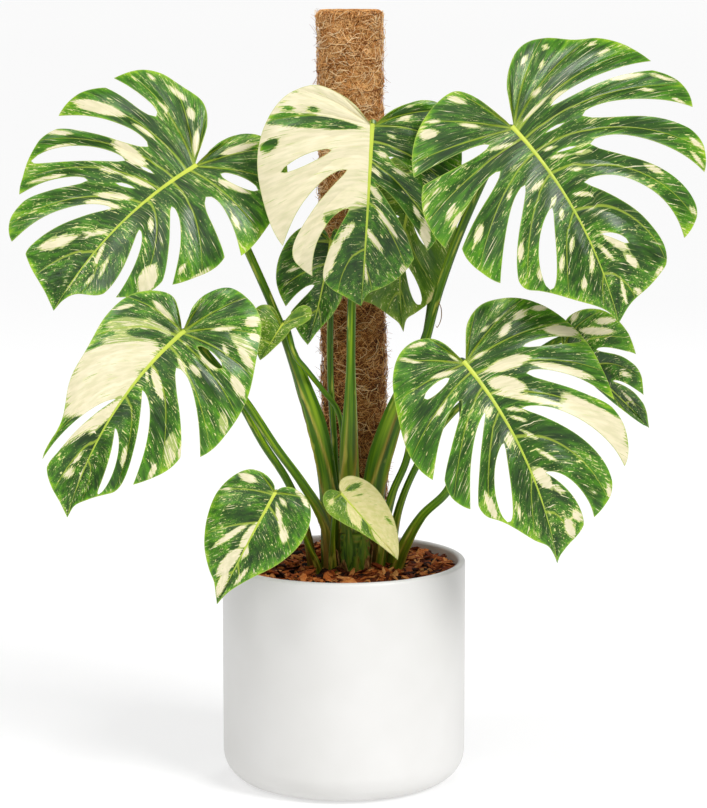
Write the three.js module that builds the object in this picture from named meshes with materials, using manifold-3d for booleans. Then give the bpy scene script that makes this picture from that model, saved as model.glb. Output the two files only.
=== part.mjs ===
// A variegated split-leaf monstera (the delicious monstera) in a white cylinder pot, grown up
// a coir pole. Millimetres, +Z up. Seen from the front, +X is to the right and +Y to the back.
// The origin is the centre of the pot's flat underside.
import * as THREE from "three";
import Module from "manifold-3d";

const wasm = await Module();
wasm.setup();

// ---------------------------------------------------------------- driving dimensions
const GAP = 0.3; // clearance between pieces that touch

const POT = { radius: 120, height: 220.7, wall: 7.5, floor: 10, foot: 30, lip: 3.2, sides: 44 };
const SOIL = { level: 208, mound: 4.5, relief: 2.2, sides: 30, rings: 8 };
const POLE = { radius: 32.5, bore: 13, foot: 34, top: 756, cap: 12, sides: 28, fuzz: 0.9 };
const POLE_FOOT = [14, 46];
const POLE_TOP = [5.5, 47];
const CORE_FOOT = 20;
const STEM = { at: [11, -23], radius: 14.5, foot: 182, top: 251 };

// Within `joint` of the junction a blade gets its thickness straight down, not along its slopes.
const BLADE = { thickness: 0.8, rib: 1.7, ribWidth: 7, bow: 0.1, crease: 1.2, joint: 26 };
// The first vein off the midrib meets the margin at `first`. The last one leaves at `last`.
const VEIN = { first: 0.35, last: 0.97, power: 1.6 };
const SINUS = { span: [0.03, 0.2], steps: 34 }; // where along the margin the first vein may end
const SHOULDER = { base: 0.09, tip: 0.02 }; // how far a lobe's corners are rounded back
const STALK_SIDES = 8;
const STALK_STEPS = 9;

// Each leaf hangs from its junction `at`. `along` is the way its midrib sets off and `face` the
// way its upper side looks. The midrib droops by `droop` radians and curves sideways by `sweep`.
// Each half rises by `fold` radians at the midrib and arches down by `arch` over `reach`.
// A margin runs from the junction round the back lobe to the tip, as [along, out] pairs.
// A cut follows one line between two veins: its place along the margin at the midrib and at the
// edge, then its openings as [from, to, width, mouth], with 0 at the midrib and 1 at the edge.
const LEAVES = {
  leaf_upper_left: {
    at: [-142, -50, 611], along: [-0.83, -0.29, -0.48], face: [0.07, -0.9, 0.43],
    length: 189, reach: 150, droop: 0.45, fold: 0.12, arch: 0.6, sweep: 38,
    wave: [3.2, 9, 0.4], columns: 20, rows: 7,
    right: {
      margin: [[-12, -2], [-35, -7], [-58, -3], [-72, 9], [-78, 39], [-58, 69], [-24, 88],
        [18, 100], [53, 90], [88, 78], [137, 44], [161, 12], [176, 3]],
      cuts: [
        [0.375, 0.36, [0.29, 0.72, 10, 10]],
        [0.482, 0.528, [0.34, 1, 18, 16]],
        [0.585, 0.692, [0.23, 1, 13, 9]],
        [0.69, 0.836, [0.24, 1, 14, 14]],
      ],
    },
    left: {
      margin: [[-14, 12], [-33, 29], [-42, 49], [-36, 74], [-27, 102], [-12, 120], [14, 129],
        [54, 138], [85, 134], [126, 123], [161, 102], [180, 92], [188, 74], [184, 52],
        [185, 19], [187, 9]],
      cuts: [
        [0.39, 0.405, [0.47, 1, 13, 14]],
        [0.495, 0.56, [0.28, 1, 18, 14]],
        [0.572, 0.66, [0.11, 0.21, 6, 6], [0.31, 0.97, 17, 17]],
        [0.655, 0.735, [0.12, 0.25, 6, 6], [0.44, 1, 10, 7]],
        [0.738, 0.84, [0.15, 1, 16, 14]],
      ],
    },
  },
  leaf_middle_top: {
    at: [27, -90, 651], along: [-0.05, -0.21, -0.98], face: [0, -0.98, 0.22],
    length: 174, reach: 110, droop: 0.6, fold: 0.12, arch: 0.6, sweep: -2,
    wave: [2.4, 8, 1.9], columns: 16, rows: 7,
    right: {
      margin: [[-2, 4], [-13, 14], [-22, 29], [-28, 47], [-26, 63], [-7, 80], [24, 87],
        [70, 80], [110, 63], [138, 38], [152, 19], [160, 6], [167, 2]],
      cuts: [
        [0.53, 0.6, [0.19, 0.45, 9, 9]],
        [0.668, 0.748, [0.06, 1, 11, 14]],
      ],
    },
    left: {
      margin: [[-6, 6], [-19, 17], [-32, 37], [-38, 57], [-29, 83], [-4, 102], [35, 110],
        [83, 99], [119, 80], [138, 59], [154, 35], [166, 13], [171, 5]],
      cuts: [
        [0.505, 0.55, [0.33, 0.78, 10, 9]],
        [0.567, 0.738, [0.2, 1, 15, 8]],
        [0.695, 0.855, [0.2, 1, 17, 10]],
      ],
    },
  },
  leaf_upper_right: {
    at: [158, -120, 651], along: [0.67, -0.24, -0.7], face: [0.05, -0.93, 0.37],
    length: 202, reach: 150, droop: 0.45, fold: 0.1, arch: 0.5, sweep: -42,
    wave: [3.2, 9, 2.2], columns: 20, rows: 7,
    right: {
      margin: [[-12, 10], [-32, 21], [-47, 38], [-55, 56], [-55, 71], [-48, 86], [-30, 106],
        [-17, 127], [6, 146], [40, 160], [81, 172], [119, 163], [154, 147], [178, 119],
        [190, 75], [195, 43], [196, 16]],
      cuts: [
        [0.418, 0.455, [0.25, 1, 8, 10]],
        [0.499, 0.59, [0.11, 0.22, 5, 5], [0.32, 1, 18, 21]],
        [0.579, 0.711, [0.09, 0.2, 5, 5], [0.27, 1, 23, 25]],
        [0.682, 0.828, [0.14, 1, 26, 19]],
        [0.808, 0.9, [0.13, 0.42, 7, 7]],
      ],
    },
    left: {
      margin: [[-11, 3], [-34, 4], [-53, 8], [-64, 15], [-67, 34], [-62, 60], [-45, 88],
        [-16, 110], [20, 122], [48, 124], [72, 111], [105, 96], [130, 65], [157, 37], [186, 8]],
      cuts: [
        [0.435, 0.388, [0.26, 1, 11, 12]],
        [0.518, 0.556, [0.3, 1, 13, 14]],
        [0.594, 0.701, [0.24, 1, 15, 16]],
        [0.7, 0.806, [0.19, 0.96, 21, 21]],
      ],
    },
  },
  leaf_lower_left: {
    at: [-150, -130, 462], along: [-0.74, -0.27, -0.62], face: [0.03, -0.93, 0.37],
    length: 199, reach: 110, droop: 0.5, fold: 0.12, arch: 0.6, sweep: 51,
    wave: [2.4, 8, 0.9], columns: 16, rows: 7,
    right: {
      margin: [[-9, -4], [-26, -12], [-45, -12], [-63, -2], [-68, 21], [-62, 41], [-36, 64],
        [-2, 88], [31, 97], [65, 95], [101, 73], [136, 49], [169, 18], [186, 4]],
      cuts: [
        [0.43, 0.44, [0.24, 0.6, 10, 10]],
        [0.535, 0.638, [0.21, 1, 20, 19]],
        [0.656, 0.806, [0.12, 1, 16, 12]],
        [0.762, 0.892, [0.16, 0.96, 14, 14]],
      ],
    },
    left: {
      margin: [[-8, 12], [-16, 32], [-8, 47], [12, 61], [41, 64], [77, 58], [107, 55],
        [138, 42], [180, 44], [189, 25], [193, 12], [196, 6]],
      cuts: [[0.735, 0.845, [0.1, 1, 13, 8]]],
    },
  },
  leaf_lower_right: {
    at: [114, -130, 433], along: [0.63, -0.24, -0.73], face: [0.03, -0.94, 0.34],
    length: 204, reach: 120, droop: 0.5, fold: 0.12, arch: 0.6, sweep: -46,
    wave: [2.8, 9, 1.2], columns: 20, rows: 7,
    right: {
      margin: [[-13, 11], [-28, 26], [-34, 46], [-28, 66], [-17, 83], [0, 96], [26, 107],
        [64, 114], [112, 113], [145, 113], [172, 104], [186, 75], [193, 42], [196, 18],
        [198, 9], [200, 4]],
      cuts: [
        [0.425, 0.437, [0.45, 0.97, 8, 8]],
        [0.5, 0.61, [0.33, 1, 14, 7]],
        [0.63, 0.766, [0.15, 1, 17, 16]],
        [0.795, 0.888, [0.15, 1, 10, 10]],
      ],
    },
    left: {
      margin: [[-10, 2], [-23, 3], [-37, 9], [-46, 23], [-46, 42], [-33, 61], [-5, 79],
        [28, 93], [51, 94], [75, 87], [111, 70], [137, 45], [171, 19], [185, 6],
        [195, 2]],
      cuts: [
        [0.405, 0.378, [0.24, 0.6, 9, 9]],
        [0.498, 0.569, [0.25, 1, 14, 11]],
        [0.6, 0.69, [0.14, 1, 11, 7]],
        [0.698, 0.796, [0.18, 0.97, 23, 23]],
      ],
    },
  },
  leaf_small_left: {
    at: [-64, -140, 312], along: [-0.48, -0.29, -0.83], face: [-0.01, -0.94, 0.33],
    length: 120, reach: 55, droop: 0.5, fold: 0.14, arch: 0.6, sweep: 0,
    wave: [1.2, 7, 0.3], columns: 10, rows: 5,
    right: {
      margin: [[-6, 2], [-11, 9], [-12, 20], [-7, 33], [7, 42], [30, 44], [56, 35], [84, 16],
        [103, 5], [114, 1.5]],
      cuts: [],
    },
    left: {
      margin: [[-6, 4], [-11, 16], [-9, 31], [2, 42], [24, 50], [50, 47], [74, 37], [92, 22],
        [101, 12], [111, 5]],
      cuts: [],
    },
  },
  leaf_small_front: {
    at: [-2, -85, 301], along: [0.67, -0.21, -0.71], face: [0.07, -0.93, 0.35],
    length: 84.5, reach: 35, droop: 0.4, fold: 0.2, arch: 0.6, sweep: 0,
    wave: [0.8, 6, 1.1], columns: 9, rows: 5,
    right: {
      margin: [[-6, 2], [-10, 8], [-8, 17], [2, 25], [18, 29], [40, 26], [59, 19], [74, 9]],
      cuts: [],
    },
    left: {
      margin: [[-6, 2], [-11, 8], [-9, 16], [4, 22], [22, 18], [40, 11], [60, 5], [74, 2]],
      cuts: [],
    },
  },
  leaf_back_right: {
    at: [73, -20, 605], along: [-0.35, -0.15, -0.92], face: [0.07, -0.99, 0.13],
    length: 152, reach: 60, droop: 0.3, fold: 0.1, arch: 0.5, sweep: 42,
    wave: [1.6, 8, 0.2], columns: 14, rows: 6,
    right: {
      margin: [[-11, 2], [-20, 11], [-21, 22], [-8, 34], [18, 46], [51, 53], [81, 50],
        [102, 42], [118, 28], [130, 15], [139, 5]],
      cuts: [
        [0.7, 0.626, [0.06, 0.5, 9, 8]],
        [0.828, 0.839, [0.16, 0.91, 13, 14]],
      ],
    },
    left: {
      margin: [[-6, 8], [-6, 23], [6, 35], [30, 42], [71, 46], [107, 51], [136, 43],
        [137, 28], [141, 14], [145, 4]],
      cuts: [[0.584, 0.62, [0.11, 0.55, 8, 7]]],
    },
  },
  leaf_back_left: {
    at: [-12, -50, 540], along: [-0.15, -0.1, -0.98], face: [-0.25, -0.96, 0.13],
    length: 105, reach: 50, droop: 0.4, fold: 0.1, arch: 0.6, sweep: -13,
    wave: [1.2, 8, 2], columns: 10, rows: 6,
    right: {
      margin: [[-12, 2], [-11, 8], [3, 14], [27, 18], [53, 21], [70, 16], [89, 6]],
      cuts: [],
    },
    left: {
      margin: [[-10, 8], [-12, 25], [2, 44], [26, 54], [50, 50], [73, 30], [95, 11]],
      cuts: [[0.7, 0.757, [0.2, 1, 9, 8]]],
    },
  },
  leaf_curled: {
    at: [-59, -68, 461], along: [-0.55, -0.05, -0.84], face: [-0.14, -0.98, 0.15],
    length: 40, reach: 30, droop: 0.3, fold: 0.1, arch: 0.6, sweep: 0,
    wave: [1, 6, 0.8], columns: 9, rows: 4,
    right: {
      margin: [[-11, 1], [-21, 3], [-28, 7], [-29, 14], [-22, 19], [-12, 16], [-2, 10], [8, 9],
        [21, 6], [32, 3]],
      cuts: [],
    },
    left: {
      margin: [[-6, 7], [-10, 18], [-7, 27], [0, 32], [10, 28], [21, 21], [30, 12], [36, 5]],
      cuts: [],
    },
  },
  leaf_far_right: {
    at: [213, -30, 435], along: [0.77, -0.1, -0.63], face: [-0.38, -0.87, -0.33],
    length: 119, reach: 60, droop: 0.4, fold: 0.1, arch: 0.7, sweep: -24,
    wave: [1.6, 8, 1.5], columns: 11, rows: 6,
    right: {
      margin: [[-10, 11], [-16, 28], [-9, 45], [10, 56], [35, 56], [57, 48], [77, 34],
        [96, 18]],
      cuts: [
        [0.46, 0.65, [0.4, 1, 7, 10]],
        [0.69, 0.84, [0.25, 1, 5, 8]],
      ],
    },
    left: {
      margin: [[2, 8], [16, 11], [39, 11], [62, 10], [86, 7], [107, 3]],
      cuts: [],
    },
  },
};

// Each leaf stalk by its route from the soil upwards, then its half width and half depth at the
// foot, its radius at the top, and how far up its flat sheath reaches. A stalk with a `leaf`
// bends in under that leaf's junction.
const STALKS = {
  stalk_upper_left: {
    leaf: "leaf_upper_left", foot: [9.5, 5], tip: 4, sheath: 0.5,
    route: [[-12, -3, 182], [-13, -5, 215], [-15, -12, 294], [-25, -20, 353], [-39, -26, 397],
      [-66, -32, 469], [-92, -34, 529], [-116, -34, 580]],
  },
  stalk_middle_top: {
    leaf: "leaf_middle_top", foot: [10, 5], tip: 4.2, sheath: 0.28,
    route: [[7, -24, 251.6], [6, -24, 285], [5, -27, 330], [6.5, -36, 385], [8, -50, 484],
      [13, -64, 570]],
  },
  stalk_upper_right: {
    leaf: "leaf_upper_right", foot: [11.5, 5.5], tip: 4.4, sheath: 0.42,
    route: [[24, -1, 182], [26, -2, 215], [31, -9, 303], [47, -20, 363], [77, -38, 438],
      [92, -52, 495], [116, -74, 565]],
  },
  stalk_lower_left: {
    leaf: "leaf_lower_left", foot: [6, 5], tip: 4.2, sheath: 0.3,
    route: [[-13, -19, 182], [-14, -21, 215], [-18, -32, 262], [-39, -52, 304], [-65, -76, 345],
      [-92, -98, 391], [-120, -108, 428]],
  },
  stalk_behind_lower_left: {
    foot: [5, 4.5], tip: 3.8, sheath: 0.25,
    route: [[-30, -8, 182], [-31, -10, 215], [-41, -28, 270], [-55, -44, 307], [-78, -62, 347],
      [-98, -80, 388], [-118, -98, 420]],
  },
  stalk_lower_right: {
    leaf: "leaf_lower_right", foot: [7, 5.5], tip: 4.2, sheath: 0.25,
    route: [[49, -16, 182], [52, -18, 215], [60, -30, 241], [76, -50, 273], [100, -75, 303],
      [113, -95, 347], [113, -106, 395]],
  },
  stalk_back_right: {
    leaf: "leaf_back_right", foot: [4.8, 4.5], tip: 3.6, sheath: 0.2,
    route: [[35, -12, 182], [36, -13, 215], [41, -16, 262], [48, -18, 290], [62, -18, 325],
      [71, -8, 400], [80, 2, 440], [86, 6, 490], [80, 2, 560]],
  },
  stalk_far_right: {
    leaf: "leaf_far_right", foot: [5.5, 5], tip: 3.4, sheath: 0.2,
    route: [[45, 5, 182], [46, 4, 215], [54, -8, 271], [74, -20, 322], [104, -26, 368],
      [150, -18, 404], [192, -2, 428]],
  },
  stalk_curled: {
    leaf: "leaf_curled", foot: [4.8, 4.2], tip: 2.6, sheath: 0.3,
    route: [[2, 0, 182], [2, -1, 215], [0, -6, 300], [-5, -13, 368], [-21, -24, 393],
      [-36, -42, 415], [-47, -56, 432]],
  },
  stalk_back_left: {
    leaf: "leaf_back_left", foot: [4.4, 4], tip: 3.2, sheath: 0.25,
    route: [[-3, 8, 182], [-4, 7, 215], [-9, 1, 330], [-13, -8, 401], [-13, -22, 461],
      [-12, -34, 510]],
  },
  stalk_small_left: {
    leaf: "leaf_small_left", foot: [3.6, 3.4], tip: 2.4, sheath: 0.3,
    route: [[-23, -34, 182], [-24, -37, 215], [-34, -62, 246], [-47, -96, 282]],
  },
  stalk_small_front: {
    leaf: "leaf_small_front", foot: [3.8, 3.4], tip: 2.2, sheath: 0.45,
    route: [[-10, -36, 182], [-11, -38, 215], [-11, -50, 245], [-9, -66, 277]],
  },
};

const COLOURS = {
  pot: ["#e9e8e4", 0.45],
  soil: ["#6b3c22", 0.95],
  coir: ["#9b6a3c", 0.95],
  core: ["#7d5a38", 0.8],
  stem: ["#557a2a", 0.55],
  stalk: ["#5f8a2c", 0.5],
  leaf: ["#3f7a2e", 0.4],
};

// ---------------------------------------------------------------- small helpers
const vec = (p) => new THREE.Vector3(...p);
const clamp = (v) => Math.min(1, Math.max(0, v));
const ease = (v) => clamp(v) ** 2 * (3 - 2 * clamp(v));
const mix = (a, b, t) => a + (b - a) * t;

function mesh(name, geometry, [colour, roughness]) {
  geometry.computeVertexNormals();
  const made = new THREE.Mesh(geometry, new THREE.MeshStandardMaterial({ color: colour, roughness }));
  made.name = name;
  return made;
}

// Shared vertices only, which a closed body needs: [points, triangles].
function welded(geometry) {
  const position = geometry.getAttribute("position");
  const index = geometry.index ? [...geometry.index.array] : [...Array(position.count).keys()];
  const seen = new Map();
  const points = [];
  const remap = [];
  for (let i = 0; i < position.count; i++) {
    const p = new THREE.Vector3().fromBufferAttribute(position, i);
    const key = p.toArray().map((v) => Math.round(v * 1e3)).join();
    if (!seen.has(key)) {
      seen.set(key, points.length);
      points.push(p);
    }
    remap.push(seen.get(key));
  }
  const triangles = [];
  for (let i = 0; i < index.length; i += 3) {
    const t = index.slice(i, i + 3).map((v) => remap[v]);
    if (t[0] !== t[1] && t[1] !== t[2] && t[2] !== t[0]) triangles.push(t);
  }
  return [points, triangles];
}

function geometryOf(points, triangles) {
  const made = new THREE.BufferGeometry();
  made.setAttribute("position", new THREE.Float32BufferAttribute(points.flatMap((p) => p.toArray()), 3));
  made.setIndex(triangles.flat());
  return made;
}

function solidOf(geometry) {
  const [points, triangles] = welded(geometry);
  return new wasm.Manifold(new wasm.Mesh({
    numProp: 3,
    vertProperties: new Float32Array(points.flatMap((p) => p.toArray())),
    triVerts: new Uint32Array(triangles.flat()),
  }));
}

function geometryOfSolid(solid) {
  const m = solid.getMesh();
  const made = new THREE.BufferGeometry();
  made.setAttribute("position", new THREE.BufferAttribute(m.vertProperties, 3));
  made.setIndex(new THREE.BufferAttribute(m.triVerts, 1));
  return made;
}

// Moves every vertex of a geometry by a function of its place.
function warped(geometry, place) {
  const position = geometry.getAttribute("position");
  for (let i = 0; i < position.count; i++) {
    position.setXYZ(i, ...place(new THREE.Vector3().fromBufferAttribute(position, i)).toArray());
  }
  return geometry;
}

const lathe = (profile, sides) =>
  new THREE.LatheGeometry(profile.map(([r, z]) => new THREE.Vector2(r, z)), sides).rotateX(Math.PI / 2);

// Points of a rounded corner from one angle to another, in degrees.
function corner(r, z, radius, from, to, steps) {
  return Array.from({ length: steps + 1 }, (_, i) => {
    const a = THREE.MathUtils.degToRad(mix(from, to, i / steps));
    return [r + radius * Math.cos(a), z + radius * Math.sin(a)];
  });
}

// ---------------------------------------------------------------- pot
function potGeometry() {
  const { radius, height, wall, floor, foot, lip, sides } = POT;
  const inner = radius - wall;
  const innerFoot = foot - wall;
  return lathe([
    [0, 0],
    ...corner(radius - foot, foot, foot, -90, 0, 5),
    ...corner(radius - lip, height - lip, lip, 0, 90, 2),
    ...corner(inner + lip, height - lip, lip, 90, 180, 2),
    ...corner(inner - innerFoot, floor + innerFoot, innerFoot, 0, -90, 3),
    [0, floor],
  ], sides);
}

// ---------------------------------------------------------------- bark mix
// Height of the bark: a low mound round the stems with shallow lumps.
function barkHeight(x, y) {
  const r = Math.hypot(x, y) / (POT.radius - POT.wall);
  const lumps = Math.sin(x * 0.21 + 1.3 * Math.sin(y * 0.13)) * Math.cos(y * 0.19 - 0.8)
    + 0.6 * Math.sin(x * 0.37 - y * 0.29);
  return SOIL.level + SOIL.mound * (1 - r * r) + SOIL.relief * lumps * (1 - 0.6 * r ** 6);
}

function barkSolid() {
  const r = (POT.radius - POT.wall) * Math.cos(Math.PI / POT.sides) - GAP;
  const z = POT.floor + GAP;
  const foot = POT.foot - POT.wall + 2;
  const top = Array.from({ length: SOIL.rings }, (_, i) => [r * (1 - i / (SOIL.rings - 1)), SOIL.level]);
  const made = lathe([[0, z], ...corner(r - foot, z + foot, foot, -90, 0, 3), ...top], SOIL.sides);
  return solidOf(warped(made, (p) => {
    if (p.z > SOIL.level - 1) p.z = barkHeight(p.x, p.y);
    return p;
  }));
}

// ---------------------------------------------------------------- coir pole
// Leans a shape that was turned about the Z axis so that it runs from POLE_FOOT to POLE_TOP.
function leaned(geometry) {
  return warped(geometry, (p) => {
    const t = (p.z - POLE.foot) / (POLE.top - POLE.foot);
    p.x += mix(POLE_FOOT[0], POLE_TOP[0], t);
    p.y += mix(POLE_FOOT[1], POLE_TOP[1], t);
    return p;
  });
}

function coirGeometry(extra = 0) {
  const { radius, bore, foot, top, cap, sides, fuzz } = POLE;
  const outer = radius + extra;
  const rise = Array.from({ length: 13 }, (_, i) => [outer, mix(foot, top - 6, i / 12)]);
  const rounded = corner(outer - 6, top - 6, 6, 30, 90, 2);
  const profile = extra
    ? [[0, foot - extra], [outer, foot - extra], ...rise, [0, top]]
    : [[0, top - cap], [bore, top - cap], [bore, foot], ...rise, ...rounded, [0, top]];
  return leaned(warped(lathe(profile, sides), (p) => {
    const r = Math.hypot(p.x, p.y);
    if (r < radius - 8) return p;
    const lump = fuzz * Math.sin(p.z * 0.11 + 3 * Math.atan2(p.y, p.x)) * Math.cos(p.z * 0.047);
    return p.multiply(new THREE.Vector3((r + lump) / r, (r + lump) / r, 1));
  }));
}

function coreGeometry(extra = 0) {
  const radius = POLE.bore * Math.cos(Math.PI / POLE.sides) - GAP + extra;
  const top = POLE.top - POLE.cap - GAP;
  return leaned(lathe([[0, CORE_FOOT - extra], [radius, CORE_FOOT - extra], [radius, top], [0, top]], 16));
}

// ---------------------------------------------------------------- leaf blades
function frameOf(leaf) {
  const x = vec(leaf.along).normalize();
  const n = vec(leaf.face);
  n.addScaledVector(x, -n.dot(x)).normalize();
  return { x, n, y: new THREE.Vector3().crossVectors(n, x) };
}

// A point of the flat blade, with its height above it, taken to the bent blade in the plant.
function bent(leaf, frame, x, y, lift = 0) {
  const k = leaf.droop / leaf.length;
  const bend = leaf.arch / leaf.reach;
  const slope = leaf.fold - bend * Math.abs(y);
  const out = Math.sign(y) * (Math.sin(leaf.fold) - Math.sin(slope)) / bend;
  const rise = (Math.cos(slope) - Math.cos(leaf.fold)) / bend + lift;
  const side = out + leaf.sweep * (Math.max(x, 0) / leaf.length) ** 2;
  const forward = Math.sin(k * x) / k + rise * Math.sin(k * x);
  const up = (Math.cos(k * x) - 1) / k + rise * Math.cos(k * x);
  return vec(leaf.at)
    .addScaledVector(frame.x, forward)
    .addScaledVector(frame.y, side)
    .addScaledVector(frame.n, up);
}

// One half of a blade. A place on it is (s, t): s runs along the margin from the junction to the
// tip, and t along a vein from the midrib out to the margin.
class Half {
  constructor(leaf, half) {
    this.leaf = leaf;
    this.cuts = half.cuts;
    const points = [[0, 0], ...half.margin, [leaf.length, 0]];
    this.edge = new THREE.CatmullRomCurve3(points.map(([x, y]) => new THREE.Vector3(x, y, 0)));
    this.first = this.furthestRound();
  }

  // The first vein goes to the place near the base of the margin that lies furthest round from the
  // midrib, so that no later one crosses it.
  furthestRound() {
    const places = Array.from({ length: SINUS.steps + 1 }, (_, i) => mix(...SINUS.span, i / SINUS.steps));
    const turns = places.map((s) => {
      const [x, y] = this.point(s, 0.02);
      const turn = Math.atan2(y, x);
      return turn < -Math.PI / 2 ? turn + 2 * Math.PI : turn;
    });
    return places[turns.indexOf(Math.max(...turns))];
  }

  veinRoot(s) {
    return VEIN.last * this.leaf.length * clamp((s - VEIN.first) / (1 - VEIN.first)) ** VEIN.power;
  }

  // The flat place of (s, t): a vein leaves the midrib and bows towards the leaf's base.
  point(s, t) {
    const m = this.edge.getPointAt(clamp(s));
    const root = this.veinRoot(s);
    const bow = BLADE.bow * ease(s / VEIN.first) * (1 - clamp(s) ** 8);
    const cx = (root + m.x) / 2 - bow * m.y;
    const cy = m.y / 2 + bow * (m.x - root);
    const a = (1 - t) ** 2;
    const b = 2 * t * (1 - t);
    return [a * root + b * cx + t * t * m.x, b * cy + t * t * m.y];
  }

  // Half the width of a cut at t, as a share of the margin.
  halfWidth(cut, s, t) {
    const opening = cut.slice(2).find(([from, to]) => t > from && t < to + 1e-9);
    if (!opening) return 0;
    const [from, to, width, mouth] = opening;
    const u = (t - from) / (to - from);
    const shape = to < 1
      ? Math.sqrt(Math.max(0, 4 * u * (1 - u)))
      : Math.sqrt(1 - (1 - Math.min(1, u / 0.3)) ** 2);
    const wide = mix(width, mouth, ease((u - 0.5) / 0.5)) * shape;
    const e = 0.01;
    const [ax, ay] = this.point(s + e, t);
    const [bx, by] = this.point(s - e, t);
    const [cx, cy] = this.point(s, t + e);
    const [dx, dy] = this.point(s, t - e);
    const across = Math.abs((ax - bx) * (cy - dy) - (ay - by) * (cx - dx)) / Math.hypot(cx - dx, cy - dy);
    return (0.5 * wide * 2 * e) / across;
  }

  // Rows of t along the line of a cut, with a row at both ends of each opening.
  rowsOf(cut, rows) {
    const t = Array.from({ length: rows + 1 }, (_, i) => i / rows);
    let last = 0;
    for (const [from, to] of cut ? cut.slice(2) : []) {
      const a = Math.max(last + 1, Math.min(rows - 2, Math.round(from * rows)));
      const b = to < 1 ? Math.min(rows - 1, Math.max(a + 2, Math.round(to * rows))) : rows;
      for (let i = a; i <= b; i++) t[i] = mix(from, to, (i - a) / (b - a));
      last = b;
    }
    return t;
  }

  // Shares the columns out among the lobes by their length of margin.
  lobes(columns) {
    const ends = [0, ...this.cuts.map((cut) => cut[1]), 1];
    const spans = ends.slice(1).map((end, i) => end - ends[i]);
    const counts = spans.map(() => 2);
    for (let n = 2 * spans.length; n < columns; n++) {
      const widest = spans.map((span, i) => span / counts[i]);
      counts[widest.indexOf(Math.max(...widest))]++;
    }
    return counts;
  }

  // Columns of (s, t) places, lobe by lobe, from the base of the leaf to its tip.
  grid(columns, rows) {
    const out = [];
    let root = 0;
    this.lobes(columns).forEach((count, j) => {
      const before = this.cuts[j - 1];
      const after = this.cuts[j];
      const rowsBefore = this.rowsOf(before, rows);
      const rowsAfter = this.rowsOf(after, rows);
      const start = before ? before.at(-1)[0] : 0;
      const stop = after ? after.at(-1)[0] : 0;
      const opensBefore = before && before.at(-1)[1] === 1;
      const opensAfter = after && after.at(-1)[1] === 1;
      for (let i = 0; i <= count; i++) {
        const c = i / count;
        const shoulder = (opensBefore ? SHOULDER.base * Math.max(0, 1 - c / 0.5) ** 2 : 0)
          + (opensAfter ? SHOULDER.tip * Math.max(0, (c - 0.6) / 0.4) ** 2 : 0);
        const column = rowsBefore.map((a, r) => {
          const t = mix(a, rowsAfter[r], c);
          const free = clamp((t - mix(start, stop, c)) / (1 - mix(start, stop, c)));
          const centre = (cut) => mix(cut[0], cut[1], t);
          const low = before ? centre(before) + this.halfWidth(before, centre(before), t) : this.first;
          const high = after ? centre(after) - this.halfWidth(after, centre(after), t) : 1;
          return { s: mix(low, high, c), t: t - shoulder * free ** 3, c, root: root + i };
        });
        out.push(column);
      }
      root += count;
    });
    return out;
  }
}

function bladeGeometry(leaf) {
  const frame = frameOf(leaf);
  const halves = [[1, new Half(leaf, leaf.right)], [-1, new Half(leaf, leaf.left)]];
  const grids = halves.map(([, half]) => half.grid(leaf.columns, leaf.rows));
  // Both halves share the places where their columns leave the midrib.
  const roots = Array.from({ length: leaf.columns + 1 }, (_, q) => {
    const x = halves.map(([, half], h) => half.veinRoot(grids[h].find((c) => c[0].root === q)[0].s));
    return x[0] + x[1] > 0.02 * leaf.length ? (x[0] + x[1]) / 2 : 0;
  });
  const [amplitude, waves, phase] = leaf.wave;
  const seen = new Map();
  const middle = [];
  const ribs = [];
  const straight = [];
  const triangles = [];
  const place = (half, sign, { s, t, c, root }) => {
    let [x, y] = half.point(s, t);
    x += (roots[root] - half.veinRoot(s)) * (1 - t) ** 3;
    if (t === 0) [x, y] = [roots[root], 0];
    const key = s === 1 ? `midrib ${t}` : [x, y * sign].map((v) => Math.round(v * 1e3)).join();
    if (!seen.has(key)) {
      const lift = amplitude * Math.sin(waves * s + phase) * t ** 3
        - BLADE.crease * Math.sin(Math.PI * c) * Math.sin(Math.PI * t * 0.9);
      seen.set(key, middle.length);
      middle.push(bent(leaf, frame, x, y * sign, s === 1 ? 0 : lift));
      ribs.push(BLADE.rib * Math.max(0, 1 - Math.abs(y) / BLADE.ribWidth) * clamp(1.1 - x / leaf.length));
      straight.push(1 - ease((Math.hypot(x, y) - BLADE.joint / 2) / (BLADE.joint / 2)));
    }
    return seen.get(key);
  };
  halves.forEach(([sign, half], h) => {
    const ids = grids[h].map((column) => column.map((p) => place(half, sign, p)));
    for (let q = 0; q + 1 < ids.length; q++) {
      if (grids[h][q][0].c === 1) continue;
      for (let r = 0; r < leaf.rows; r++) {
        const [a, b, c, d] = [ids[q][r], ids[q + 1][r], ids[q + 1][r + 1], ids[q][r + 1]];
        for (const [i, j, k] of [[a, b, c], [a, c, d]]) {
          if (i !== j && j !== k && k !== i) triangles.push(sign > 0 ? [i, j, k] : [i, k, j]);
        }
      }
    }
  });
  return sheetGeometry(middle, triangles, ribs, frame.n, straight);
}

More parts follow.
